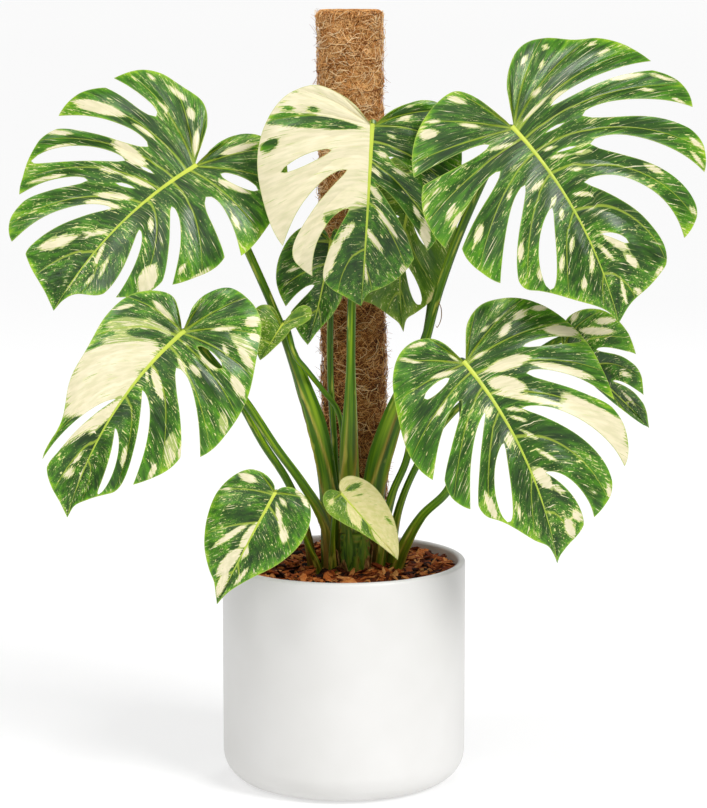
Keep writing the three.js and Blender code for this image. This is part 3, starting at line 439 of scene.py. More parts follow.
# %% Leaf measurements
LEAVES = {
    "leaf_upper_left": {
        "at": [-142, -50, 611], "along": [-0.83, -0.29, -0.48], "face": [0.07, -0.9, 0.43],
        "length": 189, "reach": 150, "droop": 0.45, "fold": 0.12, "arch": 0.6, "sweep": 38,
        "wave": [3.2, 9, 0.4], "columns": 20, "rows": 7,
        "right": {
            "margin": [[-12, -2], [-35, -7], [-58, -3], [-72, 9], [-78, 39], [-58, 69], [-24, 88],
                [18, 100], [53, 90], [88, 78], [137, 44], [161, 12], [176, 3]],
            "cuts": [
                [0.375, 0.36, [0.29, 0.72, 10, 10]],
                [0.482, 0.528, [0.34, 1, 18, 16]],
                [0.585, 0.692, [0.23, 1, 13, 9]],
                [0.69, 0.836, [0.24, 1, 14, 14]],
            ],
        },
        "left": {
            "margin": [[-14, 12], [-33, 29], [-42, 49], [-36, 74], [-27, 102], [-12, 120], [14, 129],
                [54, 138], [85, 134], [126, 123], [161, 102], [180, 92], [188, 74], [184, 52],
                [185, 19], [187, 9]],
            "cuts": [
                [0.39, 0.405, [0.47, 1, 13, 14]],
                [0.495, 0.56, [0.28, 1, 18, 14]],
                [0.572, 0.66, [0.11, 0.21, 6, 6], [0.31, 0.97, 17, 17]],
                [0.655, 0.735, [0.12, 0.25, 6, 6], [0.44, 1, 10, 7]],
                [0.738, 0.84, [0.15, 1, 16, 14]],
            ],
        },
    },
    "leaf_middle_top": {
        "at": [27, -90, 651], "along": [-0.05, -0.21, -0.98], "face": [0, -0.98, 0.22],
        "length": 174, "reach": 110, "droop": 0.6, "fold": 0.12, "arch": 0.6, "sweep": -2,
        "wave": [2.4, 8, 1.9], "columns": 16, "rows": 7,
        "right": {
            "margin": [[-2, 4], [-13, 14], [-22, 29], [-28, 47], [-26, 63], [-7, 80], [24, 87],
                [70, 80], [110, 63], [138, 38], [152, 19], [160, 6], [167, 2]],
            "cuts": [
                [0.53, 0.6, [0.19, 0.45, 9, 9]],
                [0.668, 0.748, [0.06, 1, 11, 14]],
            ],
        },
        "left": {
            "margin": [[-6, 6], [-19, 17], [-32, 37], [-38, 57], [-29, 83], [-4, 102], [35, 110],
                [83, 99], [119, 80], [138, 59], [154, 35], [166, 13], [171, 5]],
            "cuts": [
                [0.505, 0.55, [0.33, 0.78, 10, 9]],
                [0.567, 0.738, [0.2, 1, 15, 8]],
                [0.695, 0.855, [0.2, 1, 17, 10]],
            ],
        },
    },
    "leaf_upper_right": {
        "at": [158, -120, 651], "along": [0.67, -0.24, -0.7], "face": [0.05, -0.93, 0.37],
        "length": 202, "reach": 150, "droop": 0.45, "fold": 0.1, "arch": 0.5, "sweep": -42,
        "wave": [3.2, 9, 2.2], "columns": 20, "rows": 7,
        "right": {
            "margin": [[-12, 10], [-32, 21], [-47, 38], [-55, 56], [-55, 71], [-48, 86], [-30, 106],
                [-17, 127], [6, 146], [40, 160], [81, 172], [119, 163], [154, 147], [178, 119],
                [190, 75], [195, 43], [196, 16]],
            "cuts": [
                [0.418, 0.455, [0.25, 1, 8, 10]],
                [0.499, 0.59, [0.11, 0.22, 5, 5], [0.32, 1, 18, 21]],
                [0.579, 0.711, [0.09, 0.2, 5, 5], [0.27, 1, 23, 25]],
                [0.682, 0.828, [0.14, 1, 26, 19]],
                [0.808, 0.9, [0.13, 0.42, 7, 7]],
            ],
        },
        "left": {
            "margin": [[-11, 3], [-34, 4], [-53, 8], [-64, 15], [-67, 34], [-62, 60], [-45, 88],
                [-16, 110], [20, 122], [48, 124], [72, 111], [105, 96], [130, 65], [157, 37], [186, 8]],
            "cuts": [
                [0.435, 0.388, [0.26, 1, 11, 12]],
                [0.518, 0.556, [0.3, 1, 13, 14]],
                [0.594, 0.701, [0.24, 1, 15, 16]],
                [0.7, 0.806, [0.19, 0.96, 21, 21]],
            ],
        },
    },
    "leaf_lower_left": {
        "at": [-150, -130, 462], "along": [-0.74, -0.27, -0.62], "face": [0.03, -0.93, 0.37],
        "length": 199, "reach": 110, "droop": 0.5, "fold": 0.12, "arch": 0.6, "sweep": 51,
        "wave": [2.4, 8, 0.9], "columns": 16, "rows": 7,
        "right": {
            "margin": [[-9, -4], [-26, -12], [-45, -12], [-63, -2], [-68, 21], [-62, 41], [-36, 64],
                [-2, 88], [31, 97], [65, 95], [101, 73], [136, 49], [169, 18], [186, 4]],
            "cuts": [
                [0.43, 0.44, [0.24, 0.6, 10, 10]],
                [0.535, 0.638, [0.21, 1, 20, 19]],
                [0.656, 0.806, [0.12, 1, 16, 12]],
                [0.762, 0.892, [0.16, 0.96, 14, 14]],
            ],
        },
        "left": {
            "margin": [[-8, 12], [-16, 32], [-8, 47], [12, 61], [41, 64], [77, 58], [107, 55],
                [138, 42], [180, 44], [189, 25], [193, 12], [196, 6]],
            "cuts": [[0.735, 0.845, [0.1, 1, 13, 8]]],
        },
    },
    "leaf_lower_right": {
        "at": [114, -130, 433], "along": [0.63, -0.24, -0.73], "face": [0.03, -0.94, 0.34],
        "length": 204, "reach": 120, "droop": 0.5, "fold": 0.12, "arch": 0.6, "sweep": -46,
        "wave": [2.8, 9, 1.2], "columns": 20, "rows": 7,
        "right": {
            "margin": [[-13, 11], [-28, 26], [-34, 46], [-28, 66], [-17, 83], [0, 96], [26, 107],
                [64, 114], [112, 113], [145, 113], [172, 104], [186, 75], [193, 42], [196, 18],
                [198, 9], [200, 4]],
            "cuts": [
                [0.425, 0.437, [0.45, 0.97, 8, 8]],
                [0.5, 0.61, [0.33, 1, 14, 7]],
                [0.63, 0.766, [0.15, 1, 17, 16]],
                [0.795, 0.888, [0.15, 1, 10, 10]],
            ],
        },
        "left": {
            "margin": [[-10, 2], [-23, 3], [-37, 9], [-46, 23], [-46, 42], [-33, 61], [-5, 79],
                [28, 93], [51, 94], [75, 87], [111, 70], [137, 45], [171, 19], [185, 6],
                [195, 2]],
            "cuts": [
                [0.405, 0.378, [0.24, 0.6, 9, 9]],
                [0.498, 0.569, [0.25, 1, 14, 11]],
                [0.6, 0.69, [0.14, 1, 11, 7]],
                [0.698, 0.796, [0.18, 0.97, 23, 23]],
            ],
        },
    },
    "leaf_small_left": {
        "at": [-64, -140, 312], "along": [-0.48, -0.29, -0.83], "face": [-0.01, -0.94, 0.33],
        "length": 120, "reach": 55, "droop": 0.5, "fold": 0.14, "arch": 0.6, "sweep": 0,
        "wave": [1.2, 7, 0.3], "columns": 10, "rows": 5,
        "right": {
            "margin": [[-6, 2], [-11, 9], [-12, 20], [-7, 33], [7, 42], [30, 44], [56, 35], [84, 16],
                [103, 5], [114, 1.5]],
            "cuts": [],
        },
        "left": {
            "margin": [[-6, 4], [-11, 16], [-9, 31], [2, 42], [24, 50], [50, 47], [74, 37], [92, 22],
                [101, 12], [111, 5]],
            "cuts": [],
        },
    },
    "leaf_small_front": {
        "at": [-2, -85, 301], "along": [0.67, -0.21, -0.71], "face": [0.07, -0.93, 0.35],
        "length": 84.5, "reach": 35, "droop": 0.4, "fold": 0.2, "arch": 0.6, "sweep": 0,
        "wave": [0.8, 6, 1.1], "columns": 9, "rows": 5,
        "right": {
            "margin": [[-6, 2], [-10, 8], [-8, 17], [2, 25], [18, 29], [40, 26], [59, 19], [74, 9]],
            "cuts": [],
        },
        "left": {
            "margin": [[-6, 2], [-11, 8], [-9, 16], [4, 22], [22, 18], [40, 11], [60, 5], [74, 2]],
            "cuts": [],
        },
    },
    "leaf_back_right": {
        "at": [73, -20, 605], "along": [-0.35, -0.15, -0.92], "face": [0.07, -0.99, 0.13],
        "length": 152, "reach": 60, "droop": 0.3, "fold": 0.1, "arch": 0.5, "sweep": 42,
        "wave": [1.6, 8, 0.2], "columns": 14, "rows": 6,
        "right": {
            "margin": [[-11, 2], [-20, 11], [-21, 22], [-8, 34], [18, 46], [51, 53], [81, 50],
                [102, 42], [118, 28], [130, 15], [139, 5]],
            "cuts": [
                [0.7, 0.626, [0.06, 0.5, 9, 8]],
                [0.828, 0.839, [0.16, 0.91, 13, 14]],
            ],
        },
        "left": {
            "margin": [[-6, 8], [-6, 23], [6, 35], [30, 42], [71, 46], [107, 51], [136, 43],
                [137, 28], [141, 14], [145, 4]],
            "cuts": [[0.584, 0.62, [0.11, 0.55, 8, 7]]],
        },
    },
    "leaf_back_left": {
        "at": [-12, -50, 540], "along": [-0.15, -0.1, -0.98], "face": [-0.25, -0.96, 0.13],
        "length": 105, "reach": 50, "droop": 0.4, "fold": 0.1, "arch": 0.6, "sweep": -13,
        "wave": [1.2, 8, 2], "columns": 10, "rows": 6,
        "right": {
            "margin": [[-12, 2], [-11, 8], [3, 14], [27, 18], [53, 21], [70, 16], [89, 6]],
            "cuts": [],
        },
        "left": {
            "margin": [[-10, 8], [-12, 25], [2, 44], [26, 54], [50, 50], [73, 30], [95, 11]],
            "cuts": [[0.7, 0.757, [0.2, 1, 9, 8]]],
        },
    },
    "leaf_curled": {
        "at": [-59, -68, 461], "along": [-0.55, -0.05, -0.84], "face": [-0.14, -0.98, 0.15],
        "length": 40, "reach": 30, "droop": 0.3, "fold": 0.1, "arch": 0.6, "sweep": 0,
        "wave": [1, 6, 0.8], "columns": 9, "rows": 4,
        "right": {
            "margin": [[-11, 1], [-21, 3], [-28, 7], [-29, 14], [-22, 19], [-12, 16], [-2, 10], [8, 9],
                [21, 6], [32, 3]],
            "cuts": [],
        },
        "left": {
            "margin": [[-6, 7], [-10, 18], [-7, 27], [0, 32], [10, 28], [21, 21], [30, 12], [36, 5]],
            "cuts": [],
        },
    },
    "leaf_far_right": {
        "at": [213, -30, 435], "along": [0.77, -0.1, -0.63], "face": [-0.38, -0.87, -0.33],
        "length": 119, "reach": 60, "droop": 0.4, "fold": 0.1, "arch": 0.7, "sweep": -24,
        "wave": [1.6, 8, 1.5], "columns": 11, "rows": 6,
        "right": {
            "margin": [[-10, 11], [-16, 28], [-9, 45], [10, 56], [35, 56], [57, 48], [77, 34],
                [96, 18]],
            "cuts": [
                [0.46, 0.65, [0.4, 1, 7, 10]],
                [0.69, 0.84, [0.25, 1, 5, 8]],
            ],
        },
        "left": {
            "margin": [[2, 8], [16, 11], [39, 11], [62, 10], [86, 7], [107, 3]],
            "cuts": [],
        },
    },
}

# %% Stalk measurements
STALKS = {
    "stalk_upper_left": {
        "leaf": "leaf_upper_left", "foot": [9.5, 5], "tip": 4, "sheath": 0.5,
        "route": [[-12, -3, 182], [-13, -5, 215], [-15, -12, 294], [-25, -20, 353], [-39, -26, 397],
            [-66, -32, 469], [-92, -34, 529], [-116, -34, 580]],
    },
    "stalk_middle_top": {
        "leaf": "leaf_middle_top", "foot": [10, 5], "tip": 4.2, "sheath": 0.28,
        "route": [[7, -24, 251.6], [6, -24, 285], [5, -27, 330], [6.5, -36, 385], [8, -50, 484],
            [13, -64, 570]],
    },
    "stalk_upper_right": {
        "leaf": "leaf_upper_right", "foot": [11.5, 5.5], "tip": 4.4, "sheath": 0.42,
        "route": [[24, -1, 182], [26, -2, 215], [31, -9, 303], [47, -20, 363], [77, -38, 438],
            [92, -52, 495], [116, -74, 565]],
    },
    "stalk_lower_left": {
        "leaf": "leaf_lower_left", "foot": [6, 5], "tip": 4.2, "sheath": 0.3,
        "route": [[-13, -19, 182], [-14, -21, 215], [-18, -32, 262], [-39, -52, 304], [-65, -76, 345],
            [-92, -98, 391], [-120, -108, 428]],
    },
    "stalk_behind_lower_left": {
        "foot": [5, 4.5], "tip": 3.8, "sheath": 0.25,
        "route": [[-30, -8, 182], [-31, -10, 215], [-41, -28, 270], [-55, -44, 307], [-78, -62, 347],
            [-98, -80, 388], [-118, -98, 420]],
    },
    "stalk_lower_right": {
        "leaf": "leaf_lower_right", "foot": [7, 5.5], "tip": 4.2, "sheath": 0.25,
        "route": [[49, -16, 182], [52, -18, 215], [60, -30, 241], [76, -50, 273], [100, -75, 303],
            [113, -95, 347], [113, -106, 395]],
    },
    "stalk_back_right": {
        "leaf": "leaf_back_right", "foot": [4.8, 4.5], "tip": 3.6, "sheath": 0.2,
        "route": [[35, -12, 182], [36, -13, 215], [41, -16, 262], [48, -18, 290], [62, -18, 325],
            [71, -8, 400], [80, 2, 440], [86, 6, 490], [80, 2, 560]],
    },
    "stalk_far_right": {
        "leaf": "leaf_far_right", "foot": [5.5, 5], "tip": 3.4, "sheath": 0.2,
        "route": [[45, 5, 182], [46, 4, 215], [54, -8, 271], [74, -20, 322], [104, -26, 368],
            [150, -18, 404], [192, -2, 428]],
    },
    "stalk_curled": {
        "leaf": "leaf_curled", "foot": [4.8, 4.2], "tip": 2.6, "sheath": 0.3,
        "route": [[2, 0, 182], [2, -1, 215], [0, -6, 300], [-5, -13, 368], [-21, -24, 393],
            [-36, -42, 415], [-47, -56, 432]],
    },
    "stalk_back_left": {
        "leaf": "leaf_back_left", "foot": [4.4, 4], "tip": 3.2, "sheath": 0.25,
        "route": [[-3, 8, 182], [-4, 7, 215], [-9, 1, 330], [-13, -8, 401], [-13, -22, 461],
            [-12, -34, 510]],
    },
    "stalk_small_left": {
        "leaf": "leaf_small_left", "foot": [3.6, 3.4], "tip": 2.4, "sheath": 0.3,
        "route": [[-23, -34, 182], [-24, -37, 215], [-34, -62, 246], [-47, -96, 282]],
    },
    "stalk_small_front": {
        "leaf": "leaf_small_front", "foot": [3.8, 3.4], "tip": 2.2, "sheath": 0.45,
        "route": [[-10, -36, 182], [-11, -38, 215], [-11, -50, 245], [-9, -66, 277]],
    },
}
print(len(LEAVES), "leaves on", len(STALKS), "stalks")

# %% Pole and stem measurements
# The fibres are laid from `laid` up, a little under the top of the bark.
POLE = {"radius": 32.5, "bore": 13, "foot": 34, "top": 756, "cap": 12, "fuzz": 0.9, "laid": 200}
POLE_FOOT, POLE_TOP = np.array([14, 46]), np.array([5.5, 47])
STEM = {"at": [11, -23], "radius": 14.5, "foot": 182, "top": 251}


def lean(z):
    """How far the pole's axis lies from the Z axis at this height, in x and y."""
    share = (np.asarray(z) - POLE["foot"]) / (POLE["top"] - POLE["foot"])
    return POLE_FOOT + (POLE_TOP - POLE_FOOT) * share[..., None]


print("pole leans", (POLE_TOP - POLE_FOOT).tolist(), "mm over its height")

# %% Bark chips
CHIPS = {"count": 2100, "length": (6, 19), "wide": (0.2, 0.36), "thick": (0.07, 0.17)}
SHREDS = {"count": 900, "length": (12, 26), "wide": (0.05, 0.1), "thick": (0.03, 0.06)}
CHIP_REACH = 110
CHIP_TOP = 212.0  # where the pole comes out of the chips


def turning(axis, angle):
    """Matrices that turn by each angle about the x, y or z axis, numbered 0, 1 and 2."""
    made = np.zeros((3, 3, len(angle)))
    i, j = (axis + 1) % 3, (axis + 2) % 3
    made[axis, axis] = 1
    made[i, i] = made[j, j] = np.cos(angle)
    made[i, j], made[j, i] = -np.sin(angle), np.sin(angle)
    return made


def chip_shapes(rng, kind):
    """Bark chips as (points, faces, values): four rings of six points, narrow at both ends, with
    every point moved by up to 28%, then sized, turned, tilted and laid on the mound. Those that
    would lie in the stem, the pole or a stalk are left out."""
    count = kind["count"]
    a = np.arange(7) * np.pi / 3
    lengths = np.array([-1.0, -0.62, 0.55, 1.0])
    girth = np.array([0.5, 1.0, 0.92, 0.45])
    ring = np.stack([lengths[:, None] + 0 * a, girth[:, None] * np.cos(a),
                     girth[:, None] * np.sin(a)], -1)
    ends = np.stack([ring[0] * [1, 0, 0], ring[-1] * [1, 0, 0]])
    rings = np.concatenate([ends[:1], ring, ends[1:]])
    points, faces, _ = closed_skin(rings)
    long = rng.uniform(*kind["length"], count)
    size = np.stack([long / 2, long * rng.uniform(*kind["wide"], count),
                     long * rng.uniform(*kind["thick"], count)], -1)
    pushed = points * (1 + rng.uniform(-0.28, 0.28, (count, len(points), 3)))
    pushed = pushed * size[:, None]
    yaw, pitch, roll = rng.uniform(0, 2 * np.pi, count), *rng.normal(0, 0.3, (2, count))
    pushed = np.einsum("abn,bcn,cdn,nkd->nka", turning(2, yaw), turning(1, pitch),
                       turning(0, roll), pushed)
    r = np.sqrt(rng.uniform(0, 1, count)) * CHIP_REACH
    r = np.minimum(r, CHIP_REACH - long * 0.5)
    a = rng.uniform(0, 2 * np.pi, count)
    x, y = r * np.cos(a), r * np.sin(a)
    centre = np.stack([x, y, bark_height(x, y) + rng.uniform(-0.6, 3.6, count)], -1)
    feet = np.array([[*stalk["route"][1][:2], stalk["foot"][0]] for stalk in STALKS.values()
                     if stalk["route"][0][2] < SOIL["level"]]
                    + [[*STEM["at"], STEM["radius"]], [*lean(CHIP_TOP), POLE["radius"]]])
    gap = np.hypot(x[:, None] - feet[:, 0], y[:, None] - feet[:, 1]) - feet[:, 2]
    clear = gap.min(1) > long * 0.3
    points = (pushed + centre[:, None])[clear]
    first = np.arange(len(points))[:, None, None] * points.shape[1]
    tone = np.repeat(rng.uniform(-0.15, 0.5, len(points)), points.shape[1])
    return points.reshape(-1, 3), (faces + first).reshape(-1, 3), {"tone": tone}


bark_rng = np.random.default_rng(11)
piece("bark_chips", chip_shapes(bark_rng, CHIPS), [chip_bark])
piece("bark_shreds", chip_shapes(bark_rng, SHREDS), [chip_bark])

# %% [markdown]
# ## Coir pole
# A wooden core wrapped in a sleeve of matted coconut fibre, bound with thin thread. A smooth tube
# with a bumpy finish would look like cork, so the sleeve gets real fibres: thousands of thin
# three-sided strands laid over it in every direction, and finer ones that stand off. A coir
# fibre is 0.2 to 0.4 mm thick. Those that lie flat are drawn 0.4 to 0.9 mm thick, to show.

# %% Coir sleeve
sleeve_profile = np.vstack([
    [[0, POLE["top"] - POLE["cap"]], [POLE["bore"], POLE["top"] - POLE["cap"]],
     [POLE["bore"], POLE["foot"]]],
    np.stack([np.full(150, POLE["radius"] - 2.0),
              np.linspace(POLE["foot"], POLE["top"] - 6.8, 150)], -1),
    corner(POLE["radius"] - 8.0, POLE["top"] - 6.8, 6, 0, 90, 8),
    [[0, POLE["top"] - 0.8]],
])


def lump(turn, z):
    """How far the sleeve bulges out at this turn and height."""
    return POLE["fuzz"] * np.sin(z * 0.11 + 3 * turn) * np.cos(z * 0.047)


def painted_shade_low(z):
    """1 up to 380 mm and 0 from 600 mm up: painted shade that darkens the coir low down, under the
    leaves.
    """
    return 1 - ease((z - 380) / 220)


def sleeve_rings(rings):
    """Gives the turned sleeve its shallow lumps and its lean."""
    r = np.hypot(rings[..., 0], rings[..., 1])
    turn = np.arctan2(rings[..., 1], rings[..., 0])
    bulge = lump(turn, rings[..., 2])
    swell = np.where(r < POLE["radius"] - 9, 1, (r + bulge) / np.maximum(r, 1))
    out = rings.copy()
    out[..., :2] = rings[..., :2] * swell[..., None] + lean(rings[..., 2])
    return out


def coir_finish(tree):
    """Coconut fibre: golden to brown by its tone, dry and matt. On the fibres wrapped round the
    pole the tone also holds painted shade, darker low down and close to the sleeve.
    """
    depth = add(tree, "Math", {0: noise(tree, 55.0, 3.0), 1: 0.5, 2: point_value(tree, "tone")},
                operation="MULTIPLY_ADD")
    colour = add(tree, "ValToRGB", {"Fac": depth}, stops=[
        (0.2, "#552809"), (0.46, "#bb7738"), (0.7, "#ebb26d"), (1.0, "#fde0b0")])
    return add(tree, "BsdfPrincipled", {
        "Base Color": colour, "Roughness": 0.8, "Specular IOR Level": 0.2})


def mat_finish(tree):
    """The matted coir below: fibres 0.7 mm thick drawn in three directions, each a noise drawn
    out 14 times along its way. The highest of the three is on top, and the gaps between them are
    painted dark brown as shade. Low down the mat is painted darker still, as shade under the leaves."""
    grain = add(tree, "UVMap", uv_map="grain")
    top = 0.0
    for turn in (0.15, 0.95, -0.8):
        ways = add(tree, "Mapping", {"Vector": grain, "Rotation": (0, 0, turn),
                                     "Location": (turn, turn, 0)})
        layer = noise(tree, (100.0, 1400.0, 1.0), 2.0, ways, noise_dimensions="2D")
        top = add(tree, "Math", {0: layer, 1: top}, operation="MAXIMUM")
    # The lowest values, the gaps between the drawn fibres, take the dark stops: painted shade.
    depth = add(tree, "Math", {0: noise(tree, 40.0, 2.0), 1: 0.3, 2: top},
                operation="MULTIPLY_ADD")
    # Painted shade: darker low down on the pole, under the leaves.
    depth = add(tree, "Math", {0: point_value(tree, "low"), 1: -0.1, 2: depth},
                operation="MULTIPLY_ADD")
    colour = add(tree, "ValToRGB", {"Fac": depth}, stops=[
        (0.6, "#42200b"), (0.68, "#9f6230"), (0.76, "#dca25d"), (0.88, "#fad397")])
    bump = add(tree, "Bump", {"Height": top, "Strength": 0.9, "Distance": 0.0015})
    return add(tree, "BsdfPrincipled", {
        "Base Color": colour, "Roughness": 0.85, "Specular IOR Level": 0.15, "Normal": bump})


fibre_coir = material("coir_fibre", coir_finish)
mat = sleeve_rings(turned(sleeve_profile, 72))
mat_turn = np.linspace(0, 2 * np.pi, 73) * POLE["radius"]
# The "low" value is painted shade: it darkens the mat low down, under the leaves.
piece("coir_mat", closed_skin(mat, {
    "grain": np.stack([mat_turn + 0 * mat[..., 2], mat[..., 2]], -1) * MM, "low": painted_shade_low(mat[..., 2])}),
    [material("matted_coir", mat_finish)], ["coir_sleeve"])


# %% Coir fibres
def strands(paths, out, thickness, tones):
    """Thin strands as (points, faces, values). paths[n, k] are points, out[n, k] the way out of
    the pole there. Each gets three sides and narrows to both ends."""
    count, steps = paths.shape[:2]
    way = unit(np.gradient(paths, axis=1))
    side = unit(np.cross(way, out))
    up = np.cross(side, way)
    a = np.arange(3) * 2 * np.pi / 3
    narrow = 0.35 + 0.65 * np.sqrt(np.sin(np.linspace(0.06, 0.94, steps) * np.pi))
    half = thickness[:, None] / 2 * narrow
    ring = np.cos(a)[:, None] * side[:, :, None] + np.sin(a)[:, None] * up[:, :, None]
    points = paths[:, :, None] + half[:, :, None, None] * ring
    i, j = np.arange(steps - 1)[:, None] * 3, np.arange(3)
    k = (j + 1) % 3
    cells = np.stack([np.stack([i + j, i + k, i + 3 + k], -1),
                      np.stack([i + j, i + 3 + k, i + 3 + j], -1)]).reshape(-1, 3)
    last = 3 * (steps - 1)
    cells = np.vstack([cells, [[0, 2, 1], [last, last + 1, last + 2]]])
    cells = outward(points[0].reshape(-1, 3) - paths[0].mean(0), cells)
    first = np.arange(count)[:, None, None] * steps * 3
    return points.reshape(-1, 3), (cells + first).reshape(-1, 3), \
        {"tone": np.repeat(tones, steps * 3)}


def coir_piece(name, paths, out, thickness, tones):
    piece(name, strands(paths, out, thickness, tones), [fibre_coir], crisp=180)


def wrapped_fibres(rng, count, steps, lift, long, slope):
    """Fibres on the sleeve: each runs round and up at its own slope, wanders a little, and bows
    out from the wall by its own lift. `slope` is the spread of that angle in radians."""
    tau = np.linspace(0, 1, steps)
    length = rng.uniform(*long, count)[:, None]
    angle = rng.normal(0, slope, count)[:, None] + np.pi * rng.integers(0, 2, count)[:, None]
    bend, curl = rng.normal(0, 1.1, (2, count, 1))
    heading = angle + bend * (tau - 0.5) + 0.35 * curl * np.sin(2 * np.pi * tau)
    step = length / (steps - 1)
    round_mm = np.cumsum(step * np.cos(heading), 1)
    up_mm = np.cumsum(step * np.sin(heading), 1)
    base = rng.uniform(POLE["laid"], POLE["top"] - 2, count)[:, None]
    z = np.clip(base + up_mm - up_mm[:, steps // 2, None], POLE["laid"] - 2, POLE["top"] + 0.8)
    turn = rng.uniform(0, 2 * np.pi, count)[:, None] + round_mm / POLE["radius"]
    off = rng.uniform(0, 1, count)[:, None] ** 2 * lift * np.sin(np.pi * tau)
    r = POLE["radius"] - 1.9 + lump(turn, z) + rng.uniform(0, 2.2, count)[:, None] + off
    return turn, r, z


def on_pole(turn, r, z):
    """Points and outward ways at these turns, radii and heights of the leaning pole."""
    out = np.stack([np.cos(turn), np.sin(turn), 0 * turn], -1)
    points = r[..., None] * out
    points[..., 2] = z
    points[..., :2] += lean(z)
    return points, out


rng = np.random.default_rng(23)
FIBRES = 7100
turn, r, z = wrapped_fibres(rng, FIBRES, 5, 2.2, (9, 23), 0.8)
paths, out = on_pole(turn, r, z)
# Painted shade on the fibres: one that lies close to the sleeve gets a darker tone than one that stands
# off, and all are darker low down, under the leaves.
sunk = (r - lump(turn, z)).mean(1) - POLE["radius"] + 1.9
fibre_tones = np.clip(rng.normal(0.28, 0.22, FIBRES) + 0.15 * sunk
                      - 0.2 * painted_shade_low(z.mean(1)), -0.1, 0.9)
coir_piece("coir_fibres", paths, out, rng.uniform(0.4, 0.8, FIBRES), fibre_tones)

STRAYS = 2800
tau = np.linspace(0, 1, 6)
turn = rng.uniform(0, 2 * np.pi, (STRAYS, 1)) + rng.normal(0, 6, (STRAYS, 1)) * tau / POLE["radius"]
z = rng.uniform(POLE["laid"] + 6, POLE["top"] - 3, (STRAYS, 1)) + rng.normal(0, 6, (STRAYS, 1)) * tau
z = np.minimum(z, POLE["top"] + 2.5)
r = POLE["radius"] - 1 + rng.uniform(0.5, 1, (STRAYS, 1)) ** 4 * 9 * tau ** 1.3
paths, out = on_pole(turn, r, z)
coir_piece("coir_loose_fibres", paths, out, rng.uniform(0.24, 0.4, STRAYS),
           np.clip(rng.normal(0.15, 0.15, STRAYS), 0, 1))

# %% Fibres over the top, and the binding thread
TOP_FIBRES = 900
angle = rng.uniform(0, 2 * np.pi, (TOP_FIBRES, 1))
spot = np.sqrt(rng.uniform(0, 1, (TOP_FIBRES, 1))) * (POLE["radius"] - 3)
heading = rng.uniform(0, 2 * np.pi, (TOP_FIBRES, 1)) + rng.normal(0, 0.6, (TOP_FIBRES, 1)) \
    * np.linspace(0, 1, 7)
tau = np.linspace(-0.5, 0.5, 7) * rng.uniform(10, 30, (TOP_FIBRES, 1))
x, y = spot * np.cos(angle) + tau * np.cos(heading), spot * np.sin(angle) + tau * np.sin(heading)
over = np.hypot(x, y)
fit = np.minimum(1, (POLE["radius"] + 0.6) / np.maximum(over, 1))
drop = np.maximum(0, over - POLE["radius"] + 5) ** 2 / 9
z = POLE["top"] + rng.uniform(-1.2, 1.5, (TOP_FIBRES, 1)) - drop
paths = np.stack([x * fit, y * fit, z], -1)
paths[..., :2] += lean(z)
coir_piece("coir_top_fibres", paths, np.zeros_like(paths) + [0.02, 0.03, 1.0],
           rng.uniform(0.5, 0.9, TOP_FIBRES), np.clip(rng.normal(0.4, 0.2, TOP_FIBRES), 0, 1))

THREAD = {"pitch": 24, "thickness": 0.8, "turns": 23}
turn = np.linspace(0, 2 * np.pi * THREAD["turns"], THREAD["turns"] * 40)[None]
z = POLE["laid"] + 4 + turn * THREAD["pitch"] / (2 * np.pi) - 1.5 * np.sin(turn * 0.37)
paths, out = on_pole(turn, POLE["radius"] + 0.7 + 0.25 * np.sin(turn * 5.3), z)
coir_piece("coir_thread", paths, out, np.array([THREAD["thickness"]]), np.array([0.0]))


# %% Wooden core
def pale_softwood(tree):
    """Spruce dowel inside the sleeve: pale, with growth lines 2 mm apart along its length."""
    grain = noise(tree, (500.0, 500.0, 12.0), 3.0)
    colour = add(tree, "ValToRGB", {"Fac": grain}, stops=[(0.3, "#b98d5a"), (0.7, "#e0c08c")])
    return add(tree, "BsdfPrincipled", {"Base Color": colour, "Roughness": 0.65})


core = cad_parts["pole_core"]
softwood = material("spruce_dowel", pale_softwood)
for held in core.material_slots:
    held.material = softwood

# %% [markdown]
# ## Stem and leaf stalks
# The stem is short and thick, with brown papery scars where old leaves have dropped, and green
# and dry sheaths that still clasp it. Each leaf stalk clasps it too, with a flat sheath that has
# two thin dry edges, then turns round in section and swells a little just under its leaf. Fine
# lines run along it.

# %% Stem
stem_u = np.linspace(0, 1, 110)
rings = 0.1 + 0.3 * np.sin(21 * stem_u + 2 * np.sin(9 * stem_u)) + 0.35 * np.sin(47 * stem_u)
stem_profile = np.vstack([
    [[0, STEM["foot"]]],
    np.stack([STEM["radius"] + rings, mix(STEM["foot"], STEM["top"] - 4, stem_u)], -1),
    corner(STEM["radius"] - 4, STEM["top"] - 4, 4, 10, 90, 8),
    [[0, STEM["top"]]],
])
stem_skin = turned(stem_profile, 60)
stem_scar = np.zeros(stem_skin.shape[:2])
stem_scar[1:111] = ease((rings[:, None] - 0.2) / 0.5)
stem_skin[..., :2] += STEM["at"]


def stem_finish(tree):
    """Living stem: olive green, streaked along its length, with brown papery bands at the scars."""
    streak = noise(tree, (260.0, 260.0, 40.0), 3.0)
    worn = add(tree, "Math", {0: streak, 1: 1.6, 2: -0.5}, operation="MULTIPLY_ADD")
    scar = add(tree, "Math", {0: point_value(tree, "scar"), 1: 0.35}, operation="MULTIPLY")
    brown = add(tree, "Math", {0: worn, 1: scar}, operation="ADD", use_clamp=True)
    colour = add(tree, "ValToRGB", {"Fac": brown}, stops=[
        (0.0, "#2b4606"), (0.3, "#567510"), (0.5, "#77761f"), (0.7, "#684218"), (1.0, "#a67a45")])
    bump = add(tree, "Bump", {"Height": streak, "Strength": 0.6, "Distance": 0.001})
    return add(tree, "BsdfPrincipled", {
        "Base Color": colour, "Roughness": 0.6, "Specular IOR Level": 0.3, "Normal": bump})


